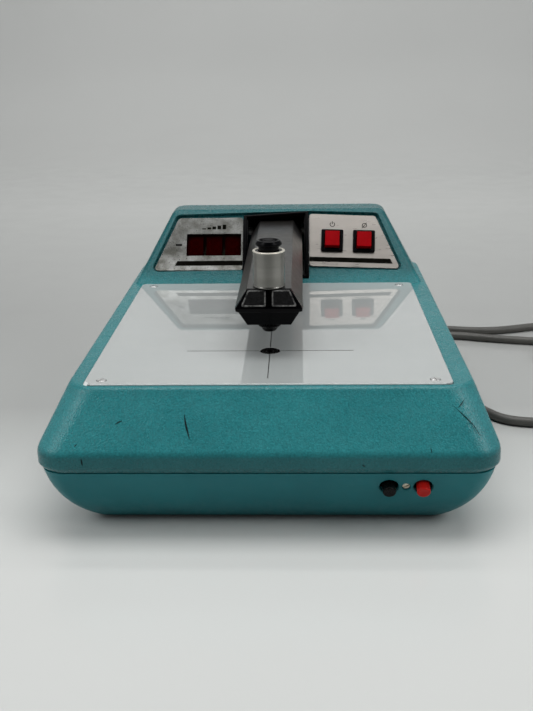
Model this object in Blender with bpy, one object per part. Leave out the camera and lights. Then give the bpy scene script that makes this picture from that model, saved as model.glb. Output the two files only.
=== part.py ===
"""A desktop transmission densitometer: a teal case with a white light table and a sloping console.

A spring-loaded arm reaches from the console over the light table. Pressing it down brings its nose
onto the film over the aperture. The rest is two panel buttons, two buttons and a trimmer on the front
wall, a three-digit display, a lamp, a transformer, circuit boards and a mains lead.

Every named size is in millimetres; mesh coordinates are turned into metres when an object is made.
X points right, Y points to the rear and Z points up. The origin is under the middle of the case, on the
surface that the feet stand on. Heights are measured from the case's own underside, FOOT_HEIGHT above that
surface, except along the mains lead, which lies on the surface.
"""

import math

import bmesh
import bpy
from mathutils import Matrix, Vector

MM = 0.001
GAP = 0.3  # between neighbours that touch on the real object

# Case
FOOT_HEIGHT = 2.0
CASE_HALF_WIDTH = 128.8
CASE_HALF_DEPTH = 181.0
SEAM_Z = 38.0
LIP_TOP_Z = 49.0
DECK_Z = 79.0
TOP_Z = 132.0
WALL = 3.0
FACE_WALL = 7.0  # the console's face is thicker, because the panels are let into it
LIP_TUCK = 1.6  # how far the lip's foot turns in, over LIP_TUCK_RISE
LIP_TUCK_RISE = 5.0
LIP_CORNER, DECK_CORNER, TOP_CORNER = 15.0, 9.0, 7.0
DECK_INSET = 20.4  # how far the slope from the lip leans in by the height of the deck
SHELF = 4.0  # the deck is wider than the console by this at each side
SHELF_RISE = 1.5
TOP_HALF_WIDTH = 81.7
CONSOLE_FOOT_Y = 76.0
CONSOLE_TOP_Y = 115.3
CONSOLE_BACK_Y = 143.0

# Lower case: its wall is an arc that leans in from the seam to the flat bottom
LIP_OVERHANG = 2.2
HULL_RADIUS = 66.2
HULL_START = math.radians(14)
HULL_END = math.radians(54.1)
HULL_TOP_CORNER, HULL_FOOT_CORNER = 14.0, 6.0

# Light table
PLATE_HALF_WIDTH = 103.15
PLATE_FRONT_Y = -152.6
PLATE_REAR_Y = 75.0
PLATE_TOP_Z = 82.0
PLATE_CORNER = 3.5
PLATE_SCREW_X = 93.6
PLATE_SCREW_FRONT_Y = -146.5
PLATE_SCREW_REAR_Y = 67.0
APERTURE_Y = -97.0
APERTURE_RADIUS = 5.97

# Console face: a frame whose X runs right, Y up the slope and Z out of the panels
PANEL_FOOT = (0.0, 86.6, 89.7)
PANEL_LEAN = math.radians(53.4)
PANEL_RECESS = 2.5
PANEL_THICK = 1.2
SKEW = math.radians(-2.2)  # the control panel sits slightly turned
DISPLAY_PANEL = [(-96.1, 0.0), (-26.4, 0.0), (-26.4, 45.3), (-77.5, 45.3)]
CONTROL_PANEL = [(25.7, 3.1), (96.2, 0.3), (78.0, 45.9), (25.7, 48.2)]
POCKET = [(-97.9, -1.6), (25.0, 0.0), (98.2, -1.6), (79.6, 47.4), (25.0, 49.8), (-78.9, 46.8)]
OPENING = [(-90.0, 8.5), (88.0, 8.5), (78.0, 39.0), (-77.5, 39.0)]
SLOT_LEFT, SLOT_RIGHT = -26.0, 25.3
SLOT_FOOT = -8.0
SLOT_TOP_LEFT, SLOT_TOP_RIGHT = 45.6, 49.0
BEZEL_WALL = 2.6
BEZEL_TOP_WALL = 2.0
WINDOW = (-70.8, -27.9, 12.6, 31.2)
MINUS_SLIT = (-79.4, -74.4, 21.0, 22.8)
DIGIT_PITCH = 15.0
POWER_AT = (43.7, 24.4)
NULL_AT = (68.5, 23.5)
BUTTON_BEZEL = (16.8, 18.6)
BUTTON_CAP = 12.7
BUTTON_TRAVEL = 2.5

# Arm
ARM_Z = 112.0
ARM_HALF_HEIGHT = 11.0
ARM_HALF_WIDTH = 20.3
ARM_FLAT = 13.1  # half the width of its top and bottom faces
ARM_WALL = 2.0
ARM_FRONT_Y = -104.2
ARM_REAR_Y = 140.0
ARM_RIDGE_Y = -110.5
NOSE_Y = -98.4  # the nose swings back onto the aperture as it comes down
NOSE_FOOT_Z = 95.6
PIVOT_Y = 130.0
PIVOT_RADIUS = 3.0
TUBE_RADIUS = 9.5
TUBE_TOP_Z = 144.9
BUTTON_TOP_Z = 150.9

# Front wall
FRONT_ANGLE = math.radians(23)
BLACK_BUTTON_X = 67.0
TRIMMER_X = 76.4
RED_BUTTON_X = 85.8
FRONT_BUTTON_RADIUS = 4.1
FRONT_HOLE_RADIUS = 5.2
FRONT_BUTTON_OUT = 4.2

# Inside
POST_X, POST_Y = 84.0, 138.0
POST_TOP_Z = 114.0
FOOT_X, FOOT_Y = 78.0, 112.0
TRANSFORMER_AT = (58.0, 78.0)
STAND_X = 24.0
STAND_WEB_Z = 86.0
SPRING_Y = 103.0

# Mains lead, along the surface that the case stands on
CORD_RADIUS = 3.4
CORD_EXIT_X = 70.0
CORD_EXIT_ANGLE = math.radians(24)
RELIEF_LENGTH = 32.0
COIL_CENTRE = (266.0, 130.0)
COIL_INNER, COIL_OUTER = 29.2, 42.8
COIL_HEIGHT = 13.6
PLUG_TURN = math.radians(-30)  # where round the coil the plug's lead leaves it
PLUG_REACH = 23.8  # how far along that lead the plug begins
PLUG_HEIGHT = 24.4
CORD_SPACING = 14.5
CORD_ROUTE = [
    (72.0, 223.0, 6.4), (84.0, 233.5, 4.2), (105.0, 235.0, 3.5), (130.0, 227.0, 3.5), (156.5, 218.4, 3.5),
    (180.0, 214.2, 3.5), (199.5, 215.2, 3.5), (217.0, 220.5, 3.5), (235.0, 226.6, 3.5), (259.0, 229.5, 3.5),
    (285.0, 221.0, 3.5), (307.0, 200.0, 3.5), (320.0, 168.0, 3.5), (322.5, 130.0, 3.5), (316.0, 90.0, 3.5),
    (299.0, 52.0, 3.5), (271.0, 19.0, 3.5), (238.0, -3.5, 3.5), (208.0, -12.0, 3.5), (181.0, -13.0, 3.5),
    (164.0, -7.0, 3.5), (152.0, 10.0, 3.5), (139.5, 41.0, 3.5), (128.5, 82.0, 3.5), (124.0, 124.0, 3.5),
    (124.0, 164.0, 3.5), (131.0, 188.0, 3.5), (147.0, 199.0, 3.5), (162.0, 198.5, 3.5), (179.7, 192.8, 3.5),
    (200.0, 187.0, 3.5), (224.5, 181.2, 3.5), (252.0, 175.0, 3.5),
]


# ---------------------------------------------------------------- outlines

def rounded(outline, radius, steps=3):
    """The outline with an arc of the radius at each corner."""
    points = []
    count = len(outline)
    for i, corner in enumerate(outline):
        here = Vector(corner)
        back = (Vector(outline[i - 1]) - here).normalized()
        ahead = (Vector(outline[(i + 1) % count]) - here).normalized()
        half = back.angle(ahead) / 2
        reach = radius / math.tan(half)
        centre = here + (back + ahead).normalized() * (radius / math.sin(half))
        start = here + back * reach - centre
        end = here + ahead * reach - centre
        turn = start.angle(end)
        sign = 1 if start.x * end.y - start.y * end.x > 0 else -1
        for k in range(steps + 1):
            a = sign * turn * k / steps
            points.append((
                centre.x + start.x * math.cos(a) - start.y * math.sin(a),
                centre.y + start.x * math.sin(a) + start.y * math.cos(a),
            ))
    return points


def rectangle(x0, x1, y0, y1):
    return [(x0, y0), (x1, y0), (x1, y1), (x0, y1)]


def circle(radius, sides=24, centre=(0, 0)):
    x, y = centre
    angles = [2 * math.pi * k / sides for k in range(sides)]
    return [(x + radius * math.cos(a), y + radius * math.sin(a)) for a in angles]


def offset_outline(outline, distances):
    """A counter-clockwise outline with each side moved inwards by its own distance."""
    count = len(outline)
    lines = []
    for i in range(count):
        a, b = Vector(outline[i]), Vector(outline[(i + 1) % count])
        along = (b - a).normalized()
        inward = Vector((-along.y, along.x))
        lines.append((a + inward * distances[i], along))
    points = []
    for i in range(count):
        (p, u), (q, v) = lines[i - 1], lines[i]
        cross = u.x * v.y - u.y * v.x
        t = ((q - p).x * v.y - (q - p).y * v.x) / cross
        points.append(tuple(p + u * t))
    return points


def hexagon(shrink=0.0):
    """The arm's cross-section in X and Z about its middle, moved in by shrink."""
    outline = [
        (-ARM_FLAT, -ARM_HALF_HEIGHT), (ARM_FLAT, -ARM_HALF_HEIGHT), (ARM_HALF_WIDTH, 0.0),
        (ARM_FLAT, ARM_HALF_HEIGHT), (-ARM_FLAT, ARM_HALF_HEIGHT), (-ARM_HALF_WIDTH, 0.0),
    ]
    return offset_outline(outline, [shrink] * 6) if shrink else outline


# ---------------------------------------------------------------- shapes, in millimetres

def prism(outline, low, high):
    """The outline, in X and Y, extruded along Z."""
    bm = bmesh.new()
    rings = [[bm.verts.new((x, y, z)) for x, y in outline] for z in (low, high)]
    bm.faces.new(rings[0])
    bm.faces.new(rings[1])
    count = len(outline)
    for i in range(count):
        j = (i + 1) % count
        bm.faces.new((rings[0][i], rings[0][j], rings[1][j], rings[1][i]))
    return bm


def frame(outer, inner, low, high):
    """A prism with a hole of the same number of points through it."""
    bm = bmesh.new()
    rings = [[bm.verts.new((x, y, z)) for x, y in line] for line in (outer, inner) for z in (low, high)]
    count = len(outer)
    for a, b in ((0, 1), (3, 2), (1, 3), (2, 0)):
        for i in range(count):
            j = (i + 1) % count
            bm.faces.new((rings[a][i], rings[a][j], rings[b][j], rings[b][i]))
    return bm


def turned(profile, sides=24):
    """The profile, points of radius and height, turned about Z. A point on the axis closes the end."""
    bm = bmesh.new()
    rings = []
    for radius, z in profile:
        if radius == 0:
            rings.append([bm.verts.new((0, 0, z))] * sides)
        else:
            rings.append([bm.verts.new((x, y, z)) for x, y in circle(radius, sides)])
    closed = all(radius > 0 for radius, _ in profile)
    for a in range(len(rings) if closed else len(rings) - 1):
        b = (a + 1) % len(rings)
        for i in range(sides):
            j = (i + 1) % sides
            corners = list(dict.fromkeys((rings[a][i], rings[a][j], rings[b][j], rings[b][i])))
            bm.faces.new(corners)
    return bm


def block(x0, x1, y0, y1, z0, z1):
    return prism(rectangle(x0, x1, y0, y1), z0, z1)


def loft(rings):
    """A closed skin through rings of points, each ring a list of X, Y, Z."""
    bm = bmesh.new()
    loops = [[bm.verts.new(p) for p in ring] for ring in rings]
    bm.faces.new(loops[0])
    bm.faces.new(loops[-1])
    count = len(rings[0])
    for a, b in zip(loops, loops[1:]):
        for i in range(count):
            j = (i + 1) % count
            bm.faces.new((a[i], a[j], b[j], b[i]))
    return bm


def turn_shape(bm, matrix):
    bmesh.ops.transform(bm, matrix=matrix, verts=bm.verts)
    return bm


def moved(bm, x=0.0, y=0.0, z=0.0):
    return turn_shape(bm, Matrix.Translation((x, y, z)))


def along_y(bm):
    """Turns a shape so that its Z runs along Y, its Y along Z and its X stays, mirrored to keep it solid."""
    swap = Matrix(((1, 0, 0, 0), (0, 0, 1, 0), (0, 1, 0, 0), (0, 0, 0, 1)))
    return turn_shape(bm, swap)


def along_x(bm):
    return turn_shape(bm, Matrix.Rotation(math.pi / 2, 4, "Y"))


# ---------------------------------------------------------------- objects

def paint(name, colour, roughness, metallic=0.0):
    material = bpy.data.materials.new(name)
    material.use_nodes = True
    shader = material.node_tree.nodes["Principled BSDF"]
    shader.inputs["Base Color"].default_value = (*colour, 1)
    shader.inputs["Roughness"].default_value = roughness
    shader.inputs["Metallic"].default_value = metallic
    material.diffuse_color = (*colour, 1)
    return material


def place(obj, parent=None, at=(0, 0, 0), turn=(0, 0, 0)):
    """Puts an object in its parent's frame, or in the case's frame where it has no parent."""
    bpy.context.scene.collection.objects.link(obj)
    obj.parent = parent
    lift = 0 if parent else FOOT_HEIGHT
    obj.location = (Vector(at) + Vector((0, 0, lift))) * MM
    obj.rotation_euler = turn
    return obj


def solid(name, bm, material=None, parent=None, at=(0, 0, 0), turn=(0, 0, 0)):
    """Makes an object from a shape given in millimetres in the parent's frame, about its own origin."""
    bmesh.ops.recalc_face_normals(bm, faces=bm.faces)
    bmesh.ops.scale(bm, vec=(MM, MM, MM), verts=bm.verts)
    mesh = bpy.data.meshes.new(name)
    bm.to_mesh(mesh)
    bm.free()
    if material:
        mesh.materials.append(material)
    mesh.shade_smooth()
    mesh.set_sharp_from_angle(angle=math.radians(30))
    return place(bpy.data.objects.new(name, mesh), parent, at, turn)


def change(target, tool, operation):
    """Cuts a tool away from a target, or joins it on, and hides the tool."""
    modifier = target.modifiers.new(tool.name, "BOOLEAN")
    modifier.operation = operation
    modifier.solver = "EXACT"
    modifier.object = tool
    tool.hide_render = True
    tool.display_type = "WIRE"


def cut(target, bm, parent=None, at=(0, 0, 0), turn=(0, 0, 0)):
    change(target, solid(target.name + "_cutter", bm, None, parent, at, turn), "DIFFERENCE")


def join(target, bm, parent=None, at=(0, 0, 0), turn=(0, 0, 0)):
    change(target, solid(target.name + "_addition", bm, None, parent, at, turn), "UNION")


def guide(name, at, turn):
    return place(bpy.data.objects.new(name, None), None, at, turn)


# ---------------------------------------------------------------- case

def case_ring(z, half, front, rear, corner):
    return [(x, y, z) for x, y in rounded(rectangle(-half, half, front, rear), corner, 4)]


def case_block(wall, low):
    """The upper case as if the console were as long as the deck, each side moved in by the wall."""
    half, depth = CASE_HALF_WIDTH - wall, CASE_HALF_DEPTH - wall
    deck_half, deck_depth = half - DECK_INSET, depth - DECK_INSET
    top = TOP_Z - wall
    climb = (top - DECK_Z) / (TOP_Z - DECK_Z)
    lean = (CASE_HALF_WIDTH - DECK_INSET - TOP_HALF_WIDTH) * climb
    back = (CASE_HALF_DEPTH - DECK_INSET - CONSOLE_BACK_Y) * climb
    return loft([
        case_ring(low, half - LIP_TUCK, LIP_TUCK - depth, depth - LIP_TUCK, LIP_CORNER),
        case_ring(SEAM_Z + LIP_TUCK_RISE, half, -depth, depth, LIP_CORNER),
        case_ring(LIP_TOP_Z, half, -depth, depth, LIP_CORNER),
        case_ring(DECK_Z, deck_half + SHELF, -deck_depth, deck_depth, DECK_CORNER),
        case_ring(DECK_Z + SHELF_RISE, deck_half, -deck_depth, deck_depth, DECK_CORNER),
        case_ring(top, deck_half - lean, -deck_depth, deck_depth - back, TOP_CORNER),
    ])


def over_deck(wall, face_wall):
    """What is cut away over the deck and in front of the console, its sides moved in by the walls."""
    rise, run = TOP_Z - DECK_Z, CONSOLE_TOP_Y - CONSOLE_FOOT_Y
    shift = face_wall * math.hypot(rise, run) / rise
    foot = CONSOLE_FOOT_Y + shift - wall * run / rise
    height = DECK_Z - wall
    steep = run / rise
    outline = [(-300, height), (foot, height), (foot + 80 * steep, height + 80), (-300, height + 80)]
    return along_x(prism([(-z, y) for y, z in outline], -200, 200))


def upper_case(material, console):
    case = solid("upper_case", case_block(0.0, SEAM_Z), material)
    cut(case, over_deck(0.0, 0.0))
    hollow = solid("hollow_cutter", case_block(WALL, SEAM_Z - 2.0))
    cut(hollow, over_deck(WALL, FACE_WALL))
    change(case, hollow, "DIFFERENCE")
    cut(case, prism(rounded(POCKET, 4.0), -PANEL_THICK - GAP, 12.0), console)
    cut(case, prism(OPENING, -12.0, 0.0), console)
    cut(case, prism(slot_outline(-GAP), -20.0, 14.0), console)
    cut(case, block(-22.5, 22.5, 90.0, 125.0, ARM_Z - 15.0, ARM_Z + 12.5))
    cut(case, moved(prism(circle(6.6), 70.0, 90.0), 0, APERTURE_Y))
    for x, y in plate_screw_places():
        cut(case, moved(prism(circle(1.8, 12), 70.0, 90.0), x, y))
    for x in (-POST_X, POST_X):
        for y, top in ((-POST_Y, DECK_Z - 1.5), (POST_Y, POST_TOP_Z)):
            join(case, moved(frame(circle(4.5, 12), circle(1.8, 12), SEAM_Z + GAP, top), x, y))
    return case


def hull_point(angle):
    """How far in from the case's edge the lower wall is, and its height, where it leans by the angle."""
    inset = LIP_OVERHANG + HULL_RADIUS * (math.cos(HULL_START) - math.cos(angle))
    return inset, SEAM_Z - GAP - HULL_RADIUS * (math.sin(angle) - math.sin(HULL_START))


def hull_ring(inset, z):
    """The lower case's outline at a height, with corners that tighten towards the bottom."""
    down = min(1.0, (SEAM_Z - z) / SEAM_Z)
    corner = HULL_TOP_CORNER + (HULL_FOOT_CORNER - HULL_TOP_CORNER) * down
    x, y = CASE_HALF_WIDTH - inset, CASE_HALF_DEPTH - inset
    return [(px, py, z) for px, py in rounded(rectangle(-x, x, -y, y), corner, 4)]


def lower_case(material, front, rear):
    steps = 6
    angles = [HULL_START + (HULL_END - HULL_START) * k / steps for k in range(steps + 1)]
    points = [hull_point(a) for a in angles]
    outer = [hull_ring(inset, z) for inset, z in points]
    inner = [hull_ring(points[0][0] + WALL, SEAM_Z + 1)]
    for a, (inset, z) in zip(angles, points):
        inner.append(hull_ring(inset + WALL * math.cos(a), z + WALL * math.sin(a)))
    case = solid("lower_case", loft(outer), material)
    floor_z = outer[-1][0][2] + WALL
    inner = [ring for ring in inner if ring[0][2] > floor_z + 0.5]
    last_inset = CASE_HALF_WIDTH - max(p[0] for p in inner[-1])
    inner.append(hull_ring(last_inset + 1.5, floor_z))
    cut(case, loft(inner))
    for x in (BLACK_BUTTON_X, RED_BUTTON_X):
        cut(case, prism(circle(FRONT_HOLE_RADIUS, 20), -8.0, 6.0), front, (x, 0, 0))
    cut(case, prism(circle(2.5, 16), -8.0, 6.0), front, (TRIMMER_X, 0, 0))
    cut(case, prism(circle(6.0, 20), -8.0, 6.0), rear, (-CORD_EXIT_X, 0, 0))
    screw_hole = [(0, -1), (3.7, -1), (3.7, 8), (1.8, 8), (1.8, 50), (0, 50)]
    for x in (-POST_X, POST_X):
        for y in (-POST_Y, POST_Y):
            join(case, prism(circle(5.5, 12), floor_z - 1.5, SEAM_Z - 1.0), None, (x, y, 0))
            cut(case, turned(screw_hole, 12), None, (x, y, 0))
    return case


def fasten_case(steel, rubber):
    number = 1
    for x in (-POST_X, POST_X):
        for y in (-POST_Y, POST_Y):
            screw = [(0, 4.9), (3.2, 4.9), (3.2, 7.6), (1.5, 7.6), (1.5, 58.0), (0, 58.0)]
            solid(f"case_screw_{number}", turned(screw, 12), steel, None, (x, y, 0))
            number += 1
    number = 1
    under = hull_point(HULL_END)[1] - GAP
    for x in (-FOOT_X, FOOT_X):
        for y in (-FOOT_Y, FOOT_Y):
            foot = [(0, -FOOT_HEIGHT), (7.6, -FOOT_HEIGHT), (8.0, under), (0, under)]
            solid(f"foot_{number}", turned(foot, 20), rubber, None, (x, y, 0))
            number += 1


# ---------------------------------------------------------------- light table

def plate_screw_places():
    rows = (PLATE_SCREW_FRONT_Y, PLATE_SCREW_REAR_Y)
    return [(x, y) for y in rows for x in (-PLATE_SCREW_X, PLATE_SCREW_X)]


def light_table(white, steel, black):
    corners = rectangle(-PLATE_HALF_WIDTH, PLATE_HALF_WIDTH, PLATE_FRONT_Y, PLATE_REAR_Y)
    sheet = prism(rounded(corners, PLATE_CORNER), DECK_Z + GAP, PLATE_TOP_Z)
    plate = solid("light_table_plate", sheet, white)
    cut(plate, moved(prism(circle(APERTURE_RADIUS + 0.25, 32), 70.0, 90.0), 0, APERTURE_Y))
    hole = [(0, 70), (1.8, 70), (1.8, 80.4), (3.0, 81.2), (3.0, 90), (0, 90)]
    screw = [(0, 68), (1.5, 68), (1.5, 80.6), (2.7, 81.4), (2.7, 82.2), (2.2, 82.5), (0, 82.5)]
    for number, (x, y) in enumerate(plate_screw_places(), 1):
        cut(plate, turned(hole, 16), None, (x, y, 0))
        solid(f"plate_screw_{number}", turned(screw, 16), steel, None, (x, y, 0))
    disc = [(1.5, 79.4), (APERTURE_RADIUS, 79.4), (APERTURE_RADIUS, 82.05), (2.2, 82.05), (1.5, 81.2)]
    solid("aperture_disc", turned(disc, 32), black, None, (0, APERTURE_Y, 0))


def light_source(glass, black, aluminium):
    at = (0, APERTURE_Y, 0)
    solid("light_tube", turned([(4.6, 47), (6.1, 47), (6.1, 78.9), (4.6, 78.9)], 20), aluminium, None, at)
    bulb = [(0, 27.5), (3.4, 27.5), (3.4, 33), (5.0, 36), (5.4, 39), (4.6, 42.5), (2.4, 44.6), (0, 45)]
    solid("lamp", turned(bulb, 16), glass, None, at)
    holder = [(0, 3.5), (9.0, 3.5), (9.0, 6.0), (6.0, 6.0), (6.0, 31.0), (3.8, 31.0), (3.8, 27.0), (0, 27.0)]
    solid("lamp_holder", turned(holder, 20), black, None, at)


# ---------------------------------------------------------------- console

def slot_outline(shrink=0.0):
    outline = [(SLOT_LEFT, SLOT_FOOT), (SLOT_RIGHT, SLOT_FOOT)]
    outline += [(SLOT_RIGHT, SLOT_TOP_RIGHT), (SLOT_LEFT, SLOT_TOP_LEFT)]
    return offset_outline(outline, [shrink] * 4)


def display(console, aluminium, red_filter, digit_red, board_green):
    panel = solid("display_panel", prism(rounded(DISPLAY_PANEL, 2.5), -PANEL_THICK, 0.0), aluminium, console)
    cut(panel, block(*WINDOW, -5, 5), console)
    cut(panel, block(*MINUS_SLIT, -5, 5), console)
    x0, x1, y0, y1 = WINDOW
    back = -PANEL_THICK - GAP
    window = block(x0 - 1.6, SLOT_LEFT - 0.9, y0 - 2, y1 + 2, back - 2.0, back)
    solid("display_window", window, red_filter, console)
    middle = (x0 + x1) / 2
    for number in range(3):
        x = middle + (number - 1) * DIGIT_PITCH
        digit = block(x - 6.2, x + 6.2, y0 + 0.6, y1 - 0.6, back - 8.5, back - 2.0 - GAP)
        solid(f"digit_{number + 1}", digit, digit_red, console)
    x0, x1, y0, y1 = MINUS_SLIT
    sign = block(x0 - 0.6, x1 + 0.6, y0 - 0.8, y1 + 0.8, back - 8.5, back)
    solid("sign_indicator", sign, digit_red, console)
    board = block(-80.3, SLOT_LEFT - 0.9, 9.5, 36.0, back - 10.4, back - 8.5 - GAP)
    solid("display_board", board, board_green, console)


def panel_button(name, console, at, black, red):
    """A square illuminated button in its bezel, with the switch that it presses."""
    x, y = (side / 2 for side in BUTTON_BEZEL)
    hole = BUTTON_CAP / 2 + GAP
    outer = rounded(rectangle(-x, x, -y, y), 1.0, 2)
    inner = rounded(rectangle(-hole, hole, -hole, hole), 0.6, 2)
    where = (*at, 0)
    turn = (0, 0, SKEW)
    solid(name + "_bezel", frame(outer, inner, GAP, 1.9), black, console, where, turn)
    cap = solid(name + "_button", block(-6.35, 6.35, -6.35, 6.35, -3.5, 5.6), red, console, where, turn)
    bevel = cap.modifiers.new("soft_edges", "BEVEL")
    bevel.width = 0.7 * MM
    bevel.segments = 2
    switch = block(-7.2, 7.2, -7.5, 7.5, -22.0, -3.5 - BUTTON_TRAVEL - GAP)
    solid(name + "_switch", switch, black, console, where, turn)


def controls(console, aluminium, black, red):
    panel = solid("control_panel", prism(rounded(CONTROL_PANEL, 2.5), -PANEL_THICK, 0.0), aluminium, console)
    for name, at in (("power", POWER_AT), ("null", NULL_AT)):
        cut(panel, block(-6.9, 6.9, -6.9, 6.9, -5, 5), console, (*at, 0), (0, 0, SKEW))
        panel_button(name, console, at, black, red)


def slot_bezel(console, black):
    inner = offset_outline(slot_outline(), [BEZEL_WALL, BEZEL_WALL, BEZEL_TOP_WALL, BEZEL_WALL])
    solid("slot_bezel", frame(slot_outline(), inner, -1.4, PANEL_RECESS + 1.2), black, console)


# ---------------------------------------------------------------- arm

def arm(metal, black, aluminium, steel):
    pivot = guide("arm_pivot", (0, PIVOT_Y, ARM_Z), (0, 0, 0))
    hollow = frame(hexagon(), hexagon(ARM_WALL), ARM_FRONT_Y - PIVOT_Y, ARM_REAR_Y - PIVOT_Y)
    housing = solid("arm_housing", along_y(hollow), metal, pivot)
    nose_at = (0, NOSE_Y - PIVOT_Y, 0)
    cut(housing, along_x(prism(circle(PIVOT_RADIUS + GAP, 20), -30, 30)), pivot)
    cut(housing, prism(circle(3.3, 16), -20, 0), pivot, nose_at)
    cut(housing, prism(circle(4.3, 16), 0, 20), pivot, nose_at)
    arm_cap(pivot, black)
    foot, under = NOSE_FOOT_Z - ARM_Z, -ARM_HALF_HEIGHT
    nose = [(0, foot + 0.8), (1.6, foot), (3.7, foot), (4.4, foot + 0.8), (7.0, under - 1.9)]
    nose += [(7.2, under - GAP), (3.0, under - GAP), (3.0, under + 4.0), (0, under + 4.0)]
    solid("measuring_nose", turned(nose, 28), black, pivot, nose_at)
    cell = [(0, -6.5), (6.0, -6.5), (6.0, 3.0), (0, 3.0)]
    solid("detector_cell", turned(cell, 16), aluminium, pivot, nose_at)
    top, rim = ARM_HALF_HEIGHT, TUBE_TOP_Z - ARM_Z
    tube = [(4.0, top - 4.0), (4.0, top + GAP), (10.2, top + GAP), (10.2, top + 1.6)]
    tube += [(TUBE_RADIUS, top + 2.0), (TUBE_RADIUS, rim - 2.4), (9.9, rim - 2.0)]
    tube += [(9.9, rim - 0.5), (9.4, rim), (6.6, rim)]
    tube += [(6.6, top + 8.0), (2.2, top + 8.0), (2.2, top - 4.0)]
    solid("detector_tube", turned(tube, 32), aluminium, pivot, nose_at)
    high = BUTTON_TOP_Z - ARM_Z
    cap = [(0, rim - 11.2), (6.2, rim - 11.2), (6.2, rim + 2.6), (7.9, rim + 2.9), (7.9, high - 0.8)]
    cap += [(7.2, high), (6.2, high), (4.6, high - 1.4), (0, high - 1.9)]
    solid("finger_button", turned(cap, 28), black, pivot, nose_at)
    pin = along_x(turned([(0, -30), (PIVOT_RADIUS, -30), (PIVOT_RADIUS, 30), (0, 30)], 20))
    solid("pivot_pin", pin, steel, None, (0, PIVOT_Y, ARM_Z))


def arm_cap(pivot, black):
    """The wedge on the arm's end: two pads over a ridge, and a plain slope under it."""
    face, ridge = ARM_FRONT_Y - GAP - PIVOT_Y, ARM_RIDGE_Y - PIVOT_Y
    rear = [(x, face, z) for x, z in hexagon()]
    wide = ARM_HALF_WIDTH - 0.4
    tip = [
        (-ARM_FLAT, face - 2.4, -ARM_HALF_HEIGHT + 0.2), (ARM_FLAT, face - 2.4, -ARM_HALF_HEIGHT + 0.2),
        (wide, ridge, 0.0), (ARM_FLAT, face - 1.6, ARM_HALF_HEIGHT - 0.2),
        (-ARM_FLAT, face - 1.6, ARM_HALF_HEIGHT - 0.2), (-wide, ridge, 0.0),
    ]
    bm = bmesh.new()
    back = [bm.verts.new(p) for p in rear]
    front = [bm.verts.new(p) for p in tip]
    bm.faces.new(back)
    for i in range(6):
        j = (i + 1) % 6
        bm.faces.new((back[i], back[j], front[j], front[i]))
    bm.faces.new((front[0], front[1], front[2], front[5]))
    bm.faces.new((front[5], front[2], front[3], front[4]))
    cap = solid("arm_end_cap", bm, black, pivot)
    groove = block(-1.2, 1.2, ridge - 2, face - 1.4, 1.5, ARM_HALF_HEIGHT + 2)
    cut(cap, groove, pivot)


def arm_mount(steel):
    """The stand that holds the pivot, and the spring that lifts the arm."""
    plate = [(112.0, 4.0), (142.0, 4.0), (142.0, 120.0), (118.0, 120.0)]
    plate += [(94.0, STAND_WEB_Z + 2), (94.0, STAND_WEB_Z - 2), (112.0, 76.0)]
    bm = along_x(prism([(-z, y) for y, z in plate], STAND_X, STAND_X + 2.0))
    stand = solid("arm_stand", bm, steel)
    join(stand, along_x(prism([(-z, y) for y, z in plate], -STAND_X - 2.0, -STAND_X)))
    join(stand, block(-STAND_X - 1, STAND_X + 1, 94.5, 141.5, STAND_WEB_Z - 2, STAND_WEB_Z))
    for x0, x1 in ((-STAND_X - 14, -STAND_X - 1), (STAND_X + 1, STAND_X + 14)):
        join(stand, block(x0, x1, 112.5, 141.5, 3.5, 5.5))
    cut(stand, along_x(prism(circle(PIVOT_RADIUS + GAP, 20), -40, 40)), None, (0, PIVOT_Y, ARM_Z))
    spring(steel)


def spring(steel):
    """A coil of round wire that stands on the web and reaches the underside of the arm."""
    wire, radius, turns, per_turn = 0.5, 4.0, 5, 14
    low = STAND_WEB_Z + GAP + wire
    high = ARM_Z - ARM_HALF_HEIGHT - GAP - wire
    curve = bpy.data.curves.new("return_spring", "CURVE")
    curve.dimensions = "3D"
    curve.bevel_depth = wire * MM
    curve.bevel_resolution = 1
    curve.use_fill_caps = True
    line = curve.splines.new("POLY")
    count = turns * per_turn + 1
    line.points.add(count - 1)
    for i in range(count):
        a = 2 * math.pi * i / per_turn
        z = low + (high - low) * i / (count - 1)
        line.points[i].co = (radius * math.cos(a) * MM, radius * math.sin(a) * MM, z * MM, 1)
    curve.materials.append(steel)
    place(bpy.data.objects.new("return_spring", curve), None, (0, SPRING_Y, 0))


# ---------------------------------------------------------------- front wall

def front_controls(front, black, red, brass, board_green):
    for name, x, colour in (("black", BLACK_BUTTON_X, black), ("red", RED_BUTTON_X, red)):
        r, out = FRONT_BUTTON_RADIUS, FRONT_BUTTON_OUT
        cap = [(0, -6.0), (r, -6.0), (r, out - 1.0), (r - 0.9, out), (0, out + 0.2)]
        solid(f"front_{name}_button", turned(cap, 24), colour, front, (x, 0, 0))
        switch = block(-4.4, 4.4, -5.0, 5.0, -15.0, -6.0 - 2.0 - GAP)
        solid(f"front_{name}_switch", switch, black, front, (x, 0, 0))
    slot = [(0, -8.0), (1.9, -8.0), (1.9, -1.6), (0, -1.6)]
    screw = solid("trimmer_screw", turned(slot, 16), brass, front, (TRIMMER_X, 0, 0))
    cut(screw, block(-3, 3, -0.3, 0.3, -2.4, 0), front, (TRIMMER_X, 0, 0), (0, 0, math.radians(35)))
    body = block(-4.0, 4.0, -4.5, 4.5, -15.0, -8.0 - GAP)
    solid("trimmer_body", body, black, front, (TRIMMER_X, 0, 0))
    board = block(BLACK_BUTTON_X - 7, RED_BUTTON_X + 7, -8, 8, -16.9, -15.0 - GAP)
    solid("calibration_board", board, board_green, front)


# ---------------------------------------------------------------- electronics

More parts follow.
